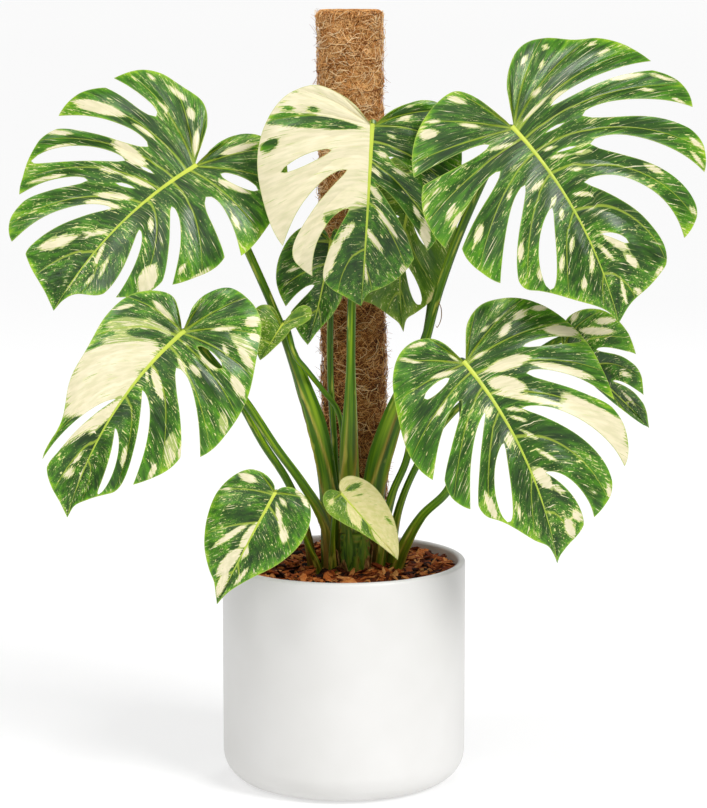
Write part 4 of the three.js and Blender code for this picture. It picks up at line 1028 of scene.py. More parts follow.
def dry_finish(tree):
    """A dead leaf sheath: thin, matt and straw brown, with fine lines along it."""
    streak = noise(tree, (700.0, 700.0, 45.0), 3.0)
    colour = add(tree, "ValToRGB", {"Fac": streak}, stops=[
        (0.3, "#4f2f14"), (0.5, "#8d6232"), (0.7, "#c2a065")])
    bump = add(tree, "Bump", {"Height": streak, "Strength": 0.5, "Distance": 0.0006})
    return add(tree, "BsdfPrincipled", {
        "Base Color": colour, "Roughness": 0.75, "Specular IOR Level": 0.25, "Normal": bump})


def flap(turn, foot, top, reach, flare):
    """A thin sheet that clasps the stem: an arc of `reach` radians each way that narrows and
    leans out as it rises, ending in a ragged edge. It is 0.6 mm thick and closed all round."""
    u, v = np.linspace(0, 1, 14)[:, None], np.linspace(-1, 1, 18)
    angle = turn + reach * v * (1 - 0.5 * u ** 2)
    r = STEM["radius"] + 0.7 + flare * u ** 2 + 0.5 * np.sin(7 * v + 5 * u + turn)
    z = foot + (top - foot) * u * (1 - 0.3 * v ** 2) + 1.3 * u * np.sin(13 * v + 3 * turn)
    faces_of = [np.stack([(r + d) * np.cos(angle) + STEM["at"][0],
                          (r + d) * np.sin(angle) + STEM["at"][1], z], -1) for d in (0.3, -0.3)]
    rings = np.concatenate([faces_of[0], faces_of[1][:, ::-1], faces_of[0][:, :1]], 1)
    middle = (faces_of[0] + faces_of[1]) / 2
    edge = np.concatenate([middle, middle[:, ::-1], middle[:, :1]], 1)
    return closed_skin(np.concatenate([edge[:1], rings, edge[-1:]]))


living_stem = material("monstera_stem", stem_finish)
piece("stem_ringed", closed_skin(stem_skin, {"scar": stem_scar}), [living_stem], ["stem"])
dry_sheath = material("dry_leaf_sheath", dry_finish)
FLAPS = [(-2.25, 205, 226, 0.4, 2.6), (-0.8, 205, 230, 0.35, 3.2), (-3.0, 205, 234, 0.6, 3.0),
         (-1.5, 205, 214, 0.5, 2.0), (0.5, 205, 240, 0.9, 2.4), (1.9, 205, 232, 0.9, 2.8)]
piece("stem_sheaths", joined([flap(*numbers) for numbers in FLAPS]), [dry_sheath])
GREEN_FLAPS = [(-1.95, 204, 258, 0.7, 1.6), (-1.1, 204, 250, 0.6, 2.4), (-1.5, 204, 232, 0.55, 3.4)]
piece("green_sheaths", joined([flap(*numbers) for numbers in GREEN_FLAPS]), [living_stem])

# %% Leaf stalks
RIB = {"half": 0.8 / 2, "under": 1.7, "gap": 0.45}
STALK_GRID = (90, 40)


def frame_of(leaf):
    """A leaf's own axes: along the midrib, to its right, and up out of its face."""
    x, n = unit(np.array(leaf["along"], float)), np.array(leaf["face"], float)
    n = unit(n - n @ x * x)
    return x, np.cross(n, x), n


def stalk_skin(stalk):
    """Sweeps an oval section along the stalk's route. Its half sizes pass from the sheath's to
    the tip's, two thin wings stand up on the side that faces the stem, and it swells by a sixth
    under the leaf."""
    route, top = list(stalk["route"]), None
    if "leaf" in stalk:
        leaf = LEAVES[stalk["leaf"]]
        x, _, top = frame_of(leaf)
        end = np.array(leaf["at"]) - top * (RIB["half"] + RIB["under"] + RIB["gap"])
        route += [end - 3 * stalk["tip"] * top - 1.2 * stalk["tip"] * x, end]
    steps, sides = STALK_GRID
    u = np.linspace(0, 1, steps)
    curve = spline(route)
    path = along(curve, u)
    way = unit(along(curve, np.minimum(u + 1e-3, 1)) - along(curve, np.maximum(u - 1e-3, 0)))
    if top is not None:
        way = unit(mix(way, top, ease((u - 0.85) / 0.15)[:, None]))
    wide = unit(np.cross(way, [0, -1, 0]))
    deep = np.cross(way, wide)
    inward = np.array([*STEM["at"], 0]) - path
    inner_side = np.arctan2((inward * deep).sum(1), (inward * wide).sum(1))
    sheath = 1 - ease((u - stalk["sheath"] + 0.16) / 0.32)
    swell = 1 + 0.16 * np.exp(-((u - 0.92) / 0.035) ** 2) * (top is not None)
    a = np.arange(sides) * 2 * np.pi / sides
    off = (a - inner_side[:, None] + np.pi) % (2 * np.pi) - np.pi
    crest = np.exp(-((np.abs(off) - 0.62) / 0.13) ** 2) * sheath[:, None]
    section = np.stack([
        np.cos(a) * (mix(stalk["tip"], stalk["foot"][0], sheath) * swell)[:, None],
        np.sin(a) * (mix(stalk["tip"], stalk["foot"][1], sheath) * swell)[:, None]], -1)
    furrow = 0.5 * np.exp(-(off / 0.5) ** 2) * sheath[:, None]
    section = section * (1 + (1.5 * crest - furrow) / np.linalg.norm(section, axis=-1))[..., None]
    skin = swept(path, wide, deep, section)
    stretch = curve[1][-1]
    u_grid = np.r_[0, u, 1][:, None] + np.zeros(sides + 1)
    turn = np.arange(sides + 1) / sides * 2 * np.pi * stalk["tip"] + np.zeros((steps + 2, 1))
    crest = np.vstack([crest[:1], crest, crest[-1:]])
    crest = np.hstack([crest, crest[:, :1]])
    return closed_skin(skin, {
        "grain": np.stack([turn, u_grid * stretch], -1) * MM,
        "wing": crest, "low": 1 - ease((u_grid * stretch - 40) / 90)})


def stalk_finish(tree, old):
    """A living stalk: waxy green, with pale and dark lines 1 to 3 mm apart, paper-dry brown edges
    on its sheath, and browner skin near the foot."""
    grain = add(tree, "UVMap", uv_map="grain")
    lines = noise(tree, (420.0, 9.0, 1.0), 3.0, grain, noise_dimensions="2D")
    flecks = noise(tree, (260.0, 30.0, 1.0), 1.0, grain, noise_dimensions="2D")
    green = add(tree, "ValToRGB", {"Fac": lines}, stops=[
        (0.25, "#2a4b01"), (0.5, "#4a7601"), (0.75, "#85a409")])
    green = blend(tree, fade(tree, flecks, 0.66, 0.76), green, "#a5b040")
    edge = add(tree, "ValToRGB", {"Fac": lines}, stops=[(0.35, "#9a7a22"), (0.6, "#c9b44e")])
    wing = add(tree, "Math", {0: point_value(tree, "wing"), 1: 0.85}, operation="MULTIPLY",
               use_clamp=True)
    green = blend(tree, wing, green, edge)
    age = add(tree, "Math", {0: point_value(tree, "low"), 1: lines}, operation="MULTIPLY")
    age = add(tree, "Math", {0: age, 1: old}, operation="MULTIPLY", use_clamp=True)
    colour = blend(tree, age, green, "#7a4a26")
    bump = add(tree, "Bump", {"Height": lines, "Strength": 0.35, "Distance": 0.0006})
    return add(tree, "BsdfPrincipled", {
        "Base Color": colour, "Roughness": 0.4, "Specular IOR Level": 0.3, "Normal": bump})


fresh_stalk = material("leaf_stalk", lambda tree: stalk_finish(tree, 0.5))
aged_stalk = material("older_leaf_stalk", lambda tree: stalk_finish(tree, 1.3))
for name, stalk in STALKS.items():
    older = name in ("stalk_lower_left", "stalk_upper_right", "stalk_behind_lower_left")
    piece(name.replace("stalk", "fine_stalk"), stalk_skin(stalk),
          [aged_stalk if older else fresh_stalk], [name])

# %% Curl of dry sheath
CURL = [[90, -51, 484], [93.5, -53, 475], [93, -53, 464], [89.5, -51, 457], [88.2, -50, 460]]
curl = along(spline(CURL), np.linspace(0, 1, 30))
curl_way = unit(np.gradient(curl, axis=0))
curl_wide = unit(np.cross(curl_way, [1, 0, 0]))
a = np.arange(10) * 2 * np.pi / 10
thin = np.sin(np.linspace(0.15, 0.95, 30) * np.pi)[:, None]
curl_section = np.stack([1.7 * thin * np.cos(a), 0.45 * thin * np.sin(a)], -1)
piece("sheath_curl", closed_skin(swept(curl, curl_wide, np.cross(curl_way, curl_wide),
                                       curl_section)), [dry_sheath])

# %% [markdown]
# ## Leaf blades
# Each blade is two halves that share a midrib. A place on a half is a pair (s, t): s runs along
# its margin from the stalk to the tip, and t along a side vein from the midrib to the margin. Cuts
# and holes open between two veins by pulling the lobes on both sides apart. Once flat, the blade
# is folded, arched and drooped in one step.

# %% The flat half
BLADE = {"thickness": 0.8, "bow": 0.1, "crease": 1.2, "joint": 26, "quilt": 2.3, "ridge": 0.6}
VEIN = {"first": 0.35, "last": 0.97, "power": 1.6, "apart": 52, "columns": 24}
SINUS = np.linspace(0.03, 0.2, 35)
SHOULDER = {"base": 0.09, "tip": 0.02}
FINER_ROWS = 4
STEP = 0.01  # of s or t, to measure a slope by
BRUSH = {"side": 3, "end": 15, "band": 20, "cream": 1.5, "green": -0.1}  # mm, and how creamy


class Half:
    """One half of a flat blade, in mm, with x along the midrib and y out from it."""

    def __init__(self, leaf, side):
        self.length, self.cuts = leaf["length"], leaf[side]["cuts"]
        self.margin = spline([[0, 0], *leaf[side]["margin"], [self.length, 0]])
        x, y = self.point(SINUS, 0.02).T
        turn = np.arctan2(y, x)
        self.first = SINUS[np.argmax(np.where(turn < -np.pi / 2, turn + 2 * np.pi, turn))]

    def vein_root(self, s):
        """Where on the midrib the vein to this place on the margin sets off."""
        share = np.clip((s - VEIN["first"]) / (1 - VEIN["first"]), 0, 1)
        return VEIN["last"] * self.length * share ** VEIN["power"]

    def point(self, s, t):
        """A vein is a parabola from its root on the midrib to the margin. Its control point lies
        off the middle of the two, towards the leaf's base, so that the vein bows."""
        m = along(self.margin, np.clip(s, 0, 1))
        root = self.vein_root(s)
        bow = BLADE["bow"] * ease(s / VEIN["first"]) * (1 - np.clip(s, 0, 1) ** 8)
        control = [(root + m[..., 0]) / 2 - bow * m[..., 1], m[..., 1] / 2 + bow * (m[..., 0] - root)]
        a, b, c = (1 - t) ** 2, 2 * t * (1 - t), t * t
        return np.stack([a * root + b * control[0] + c * m[..., 0],
                         b * control[1] + c * m[..., 1]], -1)

    def span(self, s, t):
        """The mm from s - STEP to s + STEP at each place, measured across the vein."""
        over = self.point(s + STEP, t) - self.point(s - STEP, t)
        out = self.point(s, t + STEP) - self.point(s, t - STEP)
        return np.abs(over[..., 0] * out[..., 1] - over[..., 1] * out[..., 0]) \
            / np.linalg.norm(out, axis=-1)

    def half_width(self, cut, t):
        """Half the width of a cut at each t, as a share of the margin: its width in mm over the
        mm that one unit of s covers there, across the vein."""
        s, wide = mix(cut[0], cut[1], t), np.zeros_like(t)
        for start, stop, width, mouth in cut[2:]:
            u = np.clip((t - start) / (stop - start), 0, 1)
            closed = np.sqrt(np.clip(4 * u * (1 - u), 0, 1))
            open_ended = np.sqrt(1 - (1 - np.clip(u / 0.3, 0, 1)) ** 2)
            shape = closed if stop < 1 else open_ended
            inside = (t > start) & (t < stop + 1e-9)
            wide = np.where(inside, mix(width, mouth, ease((u - 0.5) / 0.5)) * shape, wide)
        return wide * STEP / self.span(s, t)

    def rows_of(self, cut, rows):
        """Steps of t along a cut, with a step at both ends of each of its openings."""
        t, last = np.linspace(0, 1, rows + 1), 0
        for start, stop, _, _ in (cut[2:] if cut else []):
            a = max(last + 1, min(rows - 2, round(start * rows)))
            b = rows if stop == 1 else min(rows - 1, max(a + 2, round(stop * rows)))
            t[a:b + 1] = np.linspace(start, stop, b - a + 1)
            last = b
        return t

    def lobes(self, columns):
        """How many of the solid model's columns each lobe has, by its length of margin."""
        spans = np.diff([0, *(cut[1] for cut in self.cuts), 1])
        counts = np.full(len(spans), 2)
        for _ in range(columns - counts.sum()):
            counts[np.argmax(spans / counts)] += 1
        return counts


# %% The grid of a half
def half_grid(half, leaf):
    """The half as columns of (s, t), lobe by lobe from the base to the tip, with 24 columns a side
    vein. Returns s, t, c (0 to 1 across the lobe), q (which column of the solid model), the lobe,
    and how far in s the nearest vein lies, counted + and - in turn from vein to vein so that the
    count never jumps."""
    counts = half.lobes(leaf["columns"])
    starts = np.cumsum([0, *counts])
    margin_mm = half.margin[1][-1]
    ends = [0, *(cut[1] for cut in half.cuts), 1]
    out, done = [], 0
    for j, count in enumerate(counts):
        before = half.cuts[j - 1] if j else None
        after = half.cuts[j] if j < len(half.cuts) else None
        veins = max(1, round((ends[j + 1] - ends[j]) * margin_mm / VEIN["apart"]))
        columns = veins * VEIN["columns"] + 1
        c = np.linspace(0, 1, columns)[:, None]
        t = mix(half.rows_of(before, leaf["rows"] * FINER_ROWS),
                half.rows_of(after, leaf["rows"] * FINER_ROWS), c)
        start = before[-1][0] if before else 0
        stop = after[-1][0] if after else 0
        rounded = np.zeros_like(c)
        if before and before[-1][1] == 1:
            rounded = rounded + SHOULDER["base"] * np.maximum(0, 1 - c / 0.5) ** 2
        if after and after[-1][1] == 1:
            rounded = rounded + SHOULDER["tip"] * np.maximum(0, (c - 0.6) / 0.4) ** 2
        free = np.clip((t - mix(start, stop, c)) / (1 - mix(start, stop, c)), 0, 1)
        low = mix(before[0], before[1], t) + half.half_width(before, t) if before else half.first
        high = mix(after[0], after[1], t) - half.half_width(after, t) if after else 1.0
        number = np.minimum((c * veins).astype(int), veins - 1)
        from_s = mix(before[0], before[1], t) if before else half.first
        to_s = mix(after[0], after[1], t) if after else 1.0
        flat = np.zeros_like(t)
        s = mix(low, high, c)
        beside = (s - mix(from_s, to_s, (number + 0.5) / veins)) * (-1.0) ** (done + number)
        out.append([s + flat, t - rounded * free ** 3, c + flat,
                    starts[j] + c * count + flat, j + flat, beside + flat,
                    np.abs(np.cos(np.pi * c * veins)) + flat])
        done += veins
    return np.concatenate([np.stack(lobe) for lobe in out], 1)


def shared_roots(leaf, halves):
    """Where the solid model's columns leave the midrib: the mean of both halves."""
    q = np.arange(leaf["columns"] + 1)
    total = 0
    for half in halves:
        ins = [half.first, *(cut[0] for cut in half.cuts), 1]
        s = np.interp(q, np.cumsum([0, *half.lobes(leaf["columns"])]), ins)
        total = total + half.vein_root(s)
    return np.where(total > 0.02 * leaf["length"], total / 2, 0)


# %% From flat to bent
def bent(leaf, x, y, lift=0):
    """Takes flat places, and their height above the blade, to the blade in the plant. Each half
    rises at the midrib by `fold` and arches down, and the midrib droops and curves sideways."""
    ax, ay, an = frame_of(leaf)
    k, bend = leaf["droop"] / leaf["length"], leaf["arch"] / leaf["reach"]
    slope = leaf["fold"] - bend * np.abs(y)
    out = np.sign(y) * (np.sin(leaf["fold"]) - np.sin(slope)) / bend
    rise = (np.cos(slope) - np.cos(leaf["fold"])) / bend + lift
    side = out + leaf["sweep"] * (np.maximum(x, 0) / leaf["length"]) ** 2
    forward = np.sin(k * x) / k + rise * np.sin(k * x)
    up = (np.cos(k * x) - 1) / k + rise * np.cos(k * x)
    return np.array(leaf["at"]) + forward[..., None] * ax + side[..., None] * ay \
        + up[..., None] * an


def point_normals(points, faces):
    """The mean way out of the faces round each point, larger faces counting for more."""
    a, b, c = (points[faces[:, i]] for i in range(3))
    way = np.cross(b - a, c - a)
    total = np.stack([np.bincount(faces.ravel(), np.repeat(way[:, i], 3), len(points))
                      for i in range(3)], -1)
    return unit(total)


def painted(x, y, base, strokes):
    """How creamy each flat place is: the base, then brush strokes from (x, y) to (x, y) in mm,
    laid over each other. A stroke of positive width paints cream, of negative width green, and
    one with a sixth number that share of cream, which shows as a greyish mixed green. One that
    is less wide than a band narrows to a point at both ends. All fade out at sides and ends."""
    cream = np.full_like(x, base)
    for x0, y0, x1, y1, wide, *share in strokes:
        long = math.hypot(x1 - x0, y1 - y0)
        ways = (x1 - x0) / long, (y1 - y0) / long
        on = (x - x0) * ways[0] + (y - y0) * ways[1]
        off = np.abs((y - y0) * ways[0] - (x - x0) * ways[1])
        taper = np.clip(1.15 - np.abs(2 * on / long - 1) ** 1.8, 0, 1)
        half = abs(wide) * 0.5 * (taper if abs(wide) < BRUSH["band"] else 1)
        inside = ease((half - off) / BRUSH["side"] + 0.58) * ease(on / BRUSH["end"] + 0.55) \
            * ease((long - on) / BRUSH["end"] + 0.55)
        full = BRUSH["cream"] if wide > 0 else BRUSH["green"]
        cream = mix(cream, share[0] if share else full, inside)
    return cream


def open_edges(faces, count):
    """The edges that only one face has, as pairs of the numbers of `count` points."""
    edges = np.concatenate([faces[:, [0, 1]], faces[:, [1, 2]], faces[:, [2, 0]]])
    return edges[~np.isin(edges[:, 1] * count + edges[:, 0], edges[:, 0] * count + edges[:, 1])]


def nearest_mm(spots, others):
    """How far each spot is from the nearest of the others, worked out a twelfth at a time."""
    nearest = np.full(len(spots), 1e3)
    for part in np.array_split(others, 12):
        nearest = np.minimum(nearest, np.linalg.norm(spots[:, None] - part, axis=2).min(1))
    return nearest


def two_faced(upper, lower, faces, rim, values):
    """A closed sheet of an upper face, a lower one, and a wall between them along the rim. Also
    returns each triangle's material: 1 for the lower face, 0 for the rest."""
    n = len(upper)
    walls = np.concatenate([np.stack([rim[:, 1], rim[:, 0], rim[:, 0] + n], -1),
                            np.stack([rim[:, 1], rim[:, 0] + n, rim[:, 1] + n], -1)])
    kinds = np.repeat([0, 1, 0], [len(faces), len(faces), len(walls)])
    shape = (np.concatenate([upper, lower]), np.concatenate([faces, faces[:, ::-1] + n, walls]),
             {key: np.concatenate([held, held]) for key, held in values.items()})
    return shape, kinds


def blade_half(leaf, halves, side, look, shift):
    """One half as a closed sheet: an upper and a lower face along the middle surface's normals,
    joined by a wall round every edge. The blade is quilted: it bulges between its side veins and
    each vein stands out below."""
    half = halves[side]
    s, t, c, q, lobe, beside, between = half_grid(half, leaf)
    flat = half.point(s, t)
    x, y = flat[..., 0], flat[..., 1]
    roots = shared_roots(leaf, halves.values())
    root = np.interp(q, np.arange(len(roots)), roots)
    x = np.where(t == 0, root, x + (root - half.vein_root(s)) * (1 - t) ** 3)
    y = np.where((t == 0) | (s == 1), 0, y)
    amplitude, waves, phase = leaf["wave"]
    calm = 1 - ease((s - 0.93) / 0.07)
    quilt = BLADE["quilt"] * between * ease(t / 0.3) * mix(1, 0.4, ease((t - 0.8) / 0.2))
    lift = calm * (amplitude * np.sin(waves * s + phase) * t ** 3 + quilt
                   - BLADE["crease"] * np.sin(np.pi * c) * np.sin(np.pi * t * 0.9))
    sign = 1 if side == "right" else -1
    middle = bent(leaf, x, y * sign, lift)

    vein_mm = beside / (2 * STEP) * half.span(s, t)
    margin_mm = half.margin[1][-1]
    faces = grid_faces(*s.shape)
    faces = faces[lobe.ravel()[faces[:, 0]] == lobe.ravel()[faces[:, 2]]]
    middle, faces, kept = weld(middle.reshape(-1, 3), faces)
    values = {
        "grain": np.stack([s * margin_mm + shift, t * 110 + shift], -1).reshape(-1, 2)[kept] * MM,
        "vein": (vein_mm / mix(1.15, 0.2, t ** 0.8)).ravel()[kept],
        "cream": painted(x, y, look[0], look[1:]).ravel()[kept],
        "outer": (t ** 4).ravel()[kept],
    }
    normal = point_normals(middle, faces)
    if (normal @ frame_of(leaf)[2]).mean() < 0:
        faces, normal = faces[:, ::-1], -normal
    spot = np.stack([x, y], -1).reshape(-1, 2)[kept]
    straight = 1 - ease(np.linalg.norm(spot, axis=1) / (BLADE["joint"] / 2) - 1)
    normal = unit(mix(normal, frame_of(leaf)[2], straight[:, None]))

    rim = open_edges(faces, len(middle))
    outer = rim[spot[rim, 1].max(1) > 1e-6]
    to_rim = values["rim"] = nearest_mm(spot, spot[outer[:, 0]])
    thick = BLADE["thickness"] / 2 * mix(0.7, 1, ease(to_rim / 4))
    ridge = BLADE["ridge"] * np.exp(-(vein_mm.ravel()[kept] / 1.3) ** 2) \
        * mix(1, 0.2, t.ravel()[kept]) * ease(to_rim / 3)
    upper, lower = middle + normal * thick[:, None], middle - normal * (thick + ridge)[:, None]
    return two_faced(upper, lower, faces, rim, values)


def u_of(points, path):
    """How far along the path, as a share of it, each point lies."""
    near = ((points[:, None] - path) ** 2).sum(-1).argmin(1)
    return near / (len(path) - 1)


def midrib(leaf):
    """A tapering rod along the blade's midrib, flat above and keeled below."""
    u = np.linspace(0, 1, 46)
    x = mix(-3.0, 0.985 * leaf["length"], u)
    path = bent(leaf, x, 0 * x)
    way = unit(np.gradient(path, axis=0))
    wide = np.tile(frame_of(leaf)[1], (len(u), 1))
    wide = unit(wide - (wide * way).sum(1)[:, None] * way)
    deep = np.cross(way, wide)
    size = min(1, 0.35 + leaf["length"] / 260)
    a = np.arange(14) * 2 * np.pi / 14
    across = size * mix(2.5, 0.45, u ** 0.8)[:, None] * np.cos(a)
    above = size * mix(1.35, 0.6, u ** 0.8)[:, None]
    below = size * mix(2.9, 0.8, u ** 0.8)[:, None]
    height = np.where(np.sin(a) > 0, above, below) * np.sin(a)
    points, faces, _ = closed_skin(swept(path, wide, deep, np.stack([across, height], -1)))
    far = {"grain": points[:, :2] * MM, "vein": np.zeros(len(points)),
           "cream": np.zeros(len(points)), "outer": 1 - u_of(points, path),
           "rim": np.full(len(points), 50.0)}
    return (points, faces, far), np.full(len(faces), 2)


# %% Leaf finishes
LEAF_COLOURS = {  # greens from dark to light, then the halo round the cream, and the cream
    "top": ([(0.26, "#163304"), (0.41, "#295205"), (0.54, "#46800a"), (0.77, "#9ac418")],
            "#a3b263", [(0.35, "#d6cfa8"), (0.65, "#e6dcba")]),
    "under": ([(0.3, "#48652f"), (0.5, "#5c7a3a"), (0.7, "#77954a")],
              "#99a96a", [(0.35, "#cfcca0"), (0.65, "#dfdab8")]),
    "young": ([(0.3, "#3d6408"), (0.45, "#567e10"), (0.6, "#74981a"), (0.75, "#9ab332")],
              "#a9bd4c", [(0.35, "#d5cf84"), (0.65, "#e4d99c")]),
}


def leaf_finish(tree, kind, gloss):
    """A thick waxy leaf: dark green, yellower towards its edge, with pale flecks of about 1 by
    3 mm and dashes of 2 by 11 mm that gather in drifts. Where the painted cream and a streaky
    noise add up to over a half, the blade is cream, with a pale green halo round it. Side veins,
    broad at the midrib, and the very edge are yellow-green lines that the cream hides."""
    greens, halo, creams = LEAF_COLOURS[kind]
    grain = add(tree, "UVMap", uv_map="grain")
    cream, vein, rim, outer = (point_value(tree, name) for name in ("cream", "vein", "rim", "outer"))
    tone = streaks(tree, grain, 5, 20, 4.0)
    comb = streaks(tree, grain, 1.5, 34, 2.0)
    flecks = streaks(tree, grain, 1.2, 3.2, 1.0)
    dashes = streaks(tree, grain, 2.2, 12, 2.0)
    broad = streaks(tree, grain, 26, 60, 1.0)
    near_edge = fade(tree, rim, 5, 0, 0.08)
    shade = summed(tree, (tone, 0.45), (near_edge, 1.0), (outer, 0.15), (broad, 0.35))
    colour = add(tree, "ValToRGB", {"Fac": shade}, stops=greens)
    vein = add(tree, "Math", {0: vein}, operation="ABSOLUTE")
    level = summed(tree, (cream, 1.0), (comb, 3.2))
    drift = summed(tree, (broad, 0.35), (cream, 0.12))
    mixed = add(tree, "Math", {0: fade(tree, level, 2.0, 2.36, 0.6),
                               1: fade(tree, cream, 0.2, 0.45, 0.9)}, operation="MAXIMUM")
    colour = blend(tree, mixed, colour, halo)
    colour = blend(tree, fade(tree, summed(tree, (flecks, 1.0), (drift, 1.0)), 0.885, 0.94, 0.7),
                   colour, "#b6c76c")
    colour = blend(tree, fade(tree, summed(tree, (dashes, 1.0), (drift, 1.0)), 0.885, 0.91, 0.9),
                   colour, "#dad98f")
    colour = blend(tree, fade(tree, vein, 1.5, 0.6, 0.7), colour, "#9cb133")
    pale = add(tree, "ValToRGB", {"Fac": tone}, stops=creams)
    pale = blend(tree, fade(tree, comb, 0.45, 0.3, 0.2), pale, "#c3d08c")
    shown = fade(tree, level, 2.34, 2.4)
    colour = blend(tree, shown, colour, pale)
    colour = blend(tree, fade(tree, rim, 0.9, 0.2, 0.6), colour, "#a9bb52")
    rough = add(tree, "MapRange", {"Value": dashes, "To Min": gloss - 0.08, "To Max": gloss + 0.1})
    groove = fade(tree, vein, 2.2, 0.0, -0.6)
    height = summed(tree, (tone, 0.4), (streaks(tree, grain, 3, 60, 2.0), 0.4), (groove, 1.0))
    bump = add(tree, "Bump", {"Height": height, "Distance": 0.0012, "Strength": add(
        tree, "MapRange", {"Value": shown, "To Min": 0.55, "To Max": 0.15})})
    return add(tree, "BsdfPrincipled", {
        "Base Color": colour, "Roughness": rough, "Specular IOR Level": 0.42, "Normal": bump})


def midrib_finish(tree):
    """The midrib: a smooth yellow-green rod, bright for its first half and paler to the tip."""
    cloud = noise(tree, 70.0, 3.0)
    fresh = summed(tree, (point_value(tree, "outer"), 0.5), (cloud, 0.6))
    colour = add(tree, "ValToRGB", {"Fac": fresh}, stops=[
        (0.25, "#8fa63e"), (0.5, "#a8be3c"), (0.8, "#c6d24a")])
    bump = add(tree, "Bump", {"Height": cloud, "Strength": 0.2, "Distance": 0.0005})
    return add(tree, "BsdfPrincipled", {
        "Base Color": colour, "Roughness": 0.38, "IOR": 1.45, "Normal": bump})


leaf_under = material("leaf_underside", lambda tree: leaf_finish(tree, "under", 0.55))
rib_green = material("leaf_midrib", midrib_finish)
grown = [material("leaf_top", lambda tree: leaf_finish(tree, "top", 0.33)), leaf_under, rib_green]
young = [material("young_leaf_top", lambda tree: leaf_finish(tree, "young", 0.36)), leaf_under,
         rib_green]

# %% [markdown]
# ## Where the cream is
# No two leaves are marked alike, so the marks are laid out one by one, as they lie on the plant
# seen from the front. Noise alone gives specks and streaks, but no half leaf of cream. Each mark
# is a brush stroke between two spots in an enlarged part of the front view. The script looks up
# which place on the flat blade the camera sees at each spot, so a blade that is bent or turned
# keeps its marks.

# %% Brush strokes
# The front view: its size in pixels, its eye, 1 mm under the camera's, and the mm of a pixel.
VIEW = {"wide": 707, "high": 808, "eye": (0.0095, -2.8, 0.807), "mm": 0.98}
PARTS = {  # enlarged parts of the view: left and top in its pixels, and how often enlarged
    "upper left": (10, 60, 6.03), "middle": (250, 80, 6.818), "upper right": (405, 30, 5.192),
    "lower left": (40, 280, 6.535), "lower right": (385, 290, 5.6), "pot rim": (195, 460, 7.293),
}
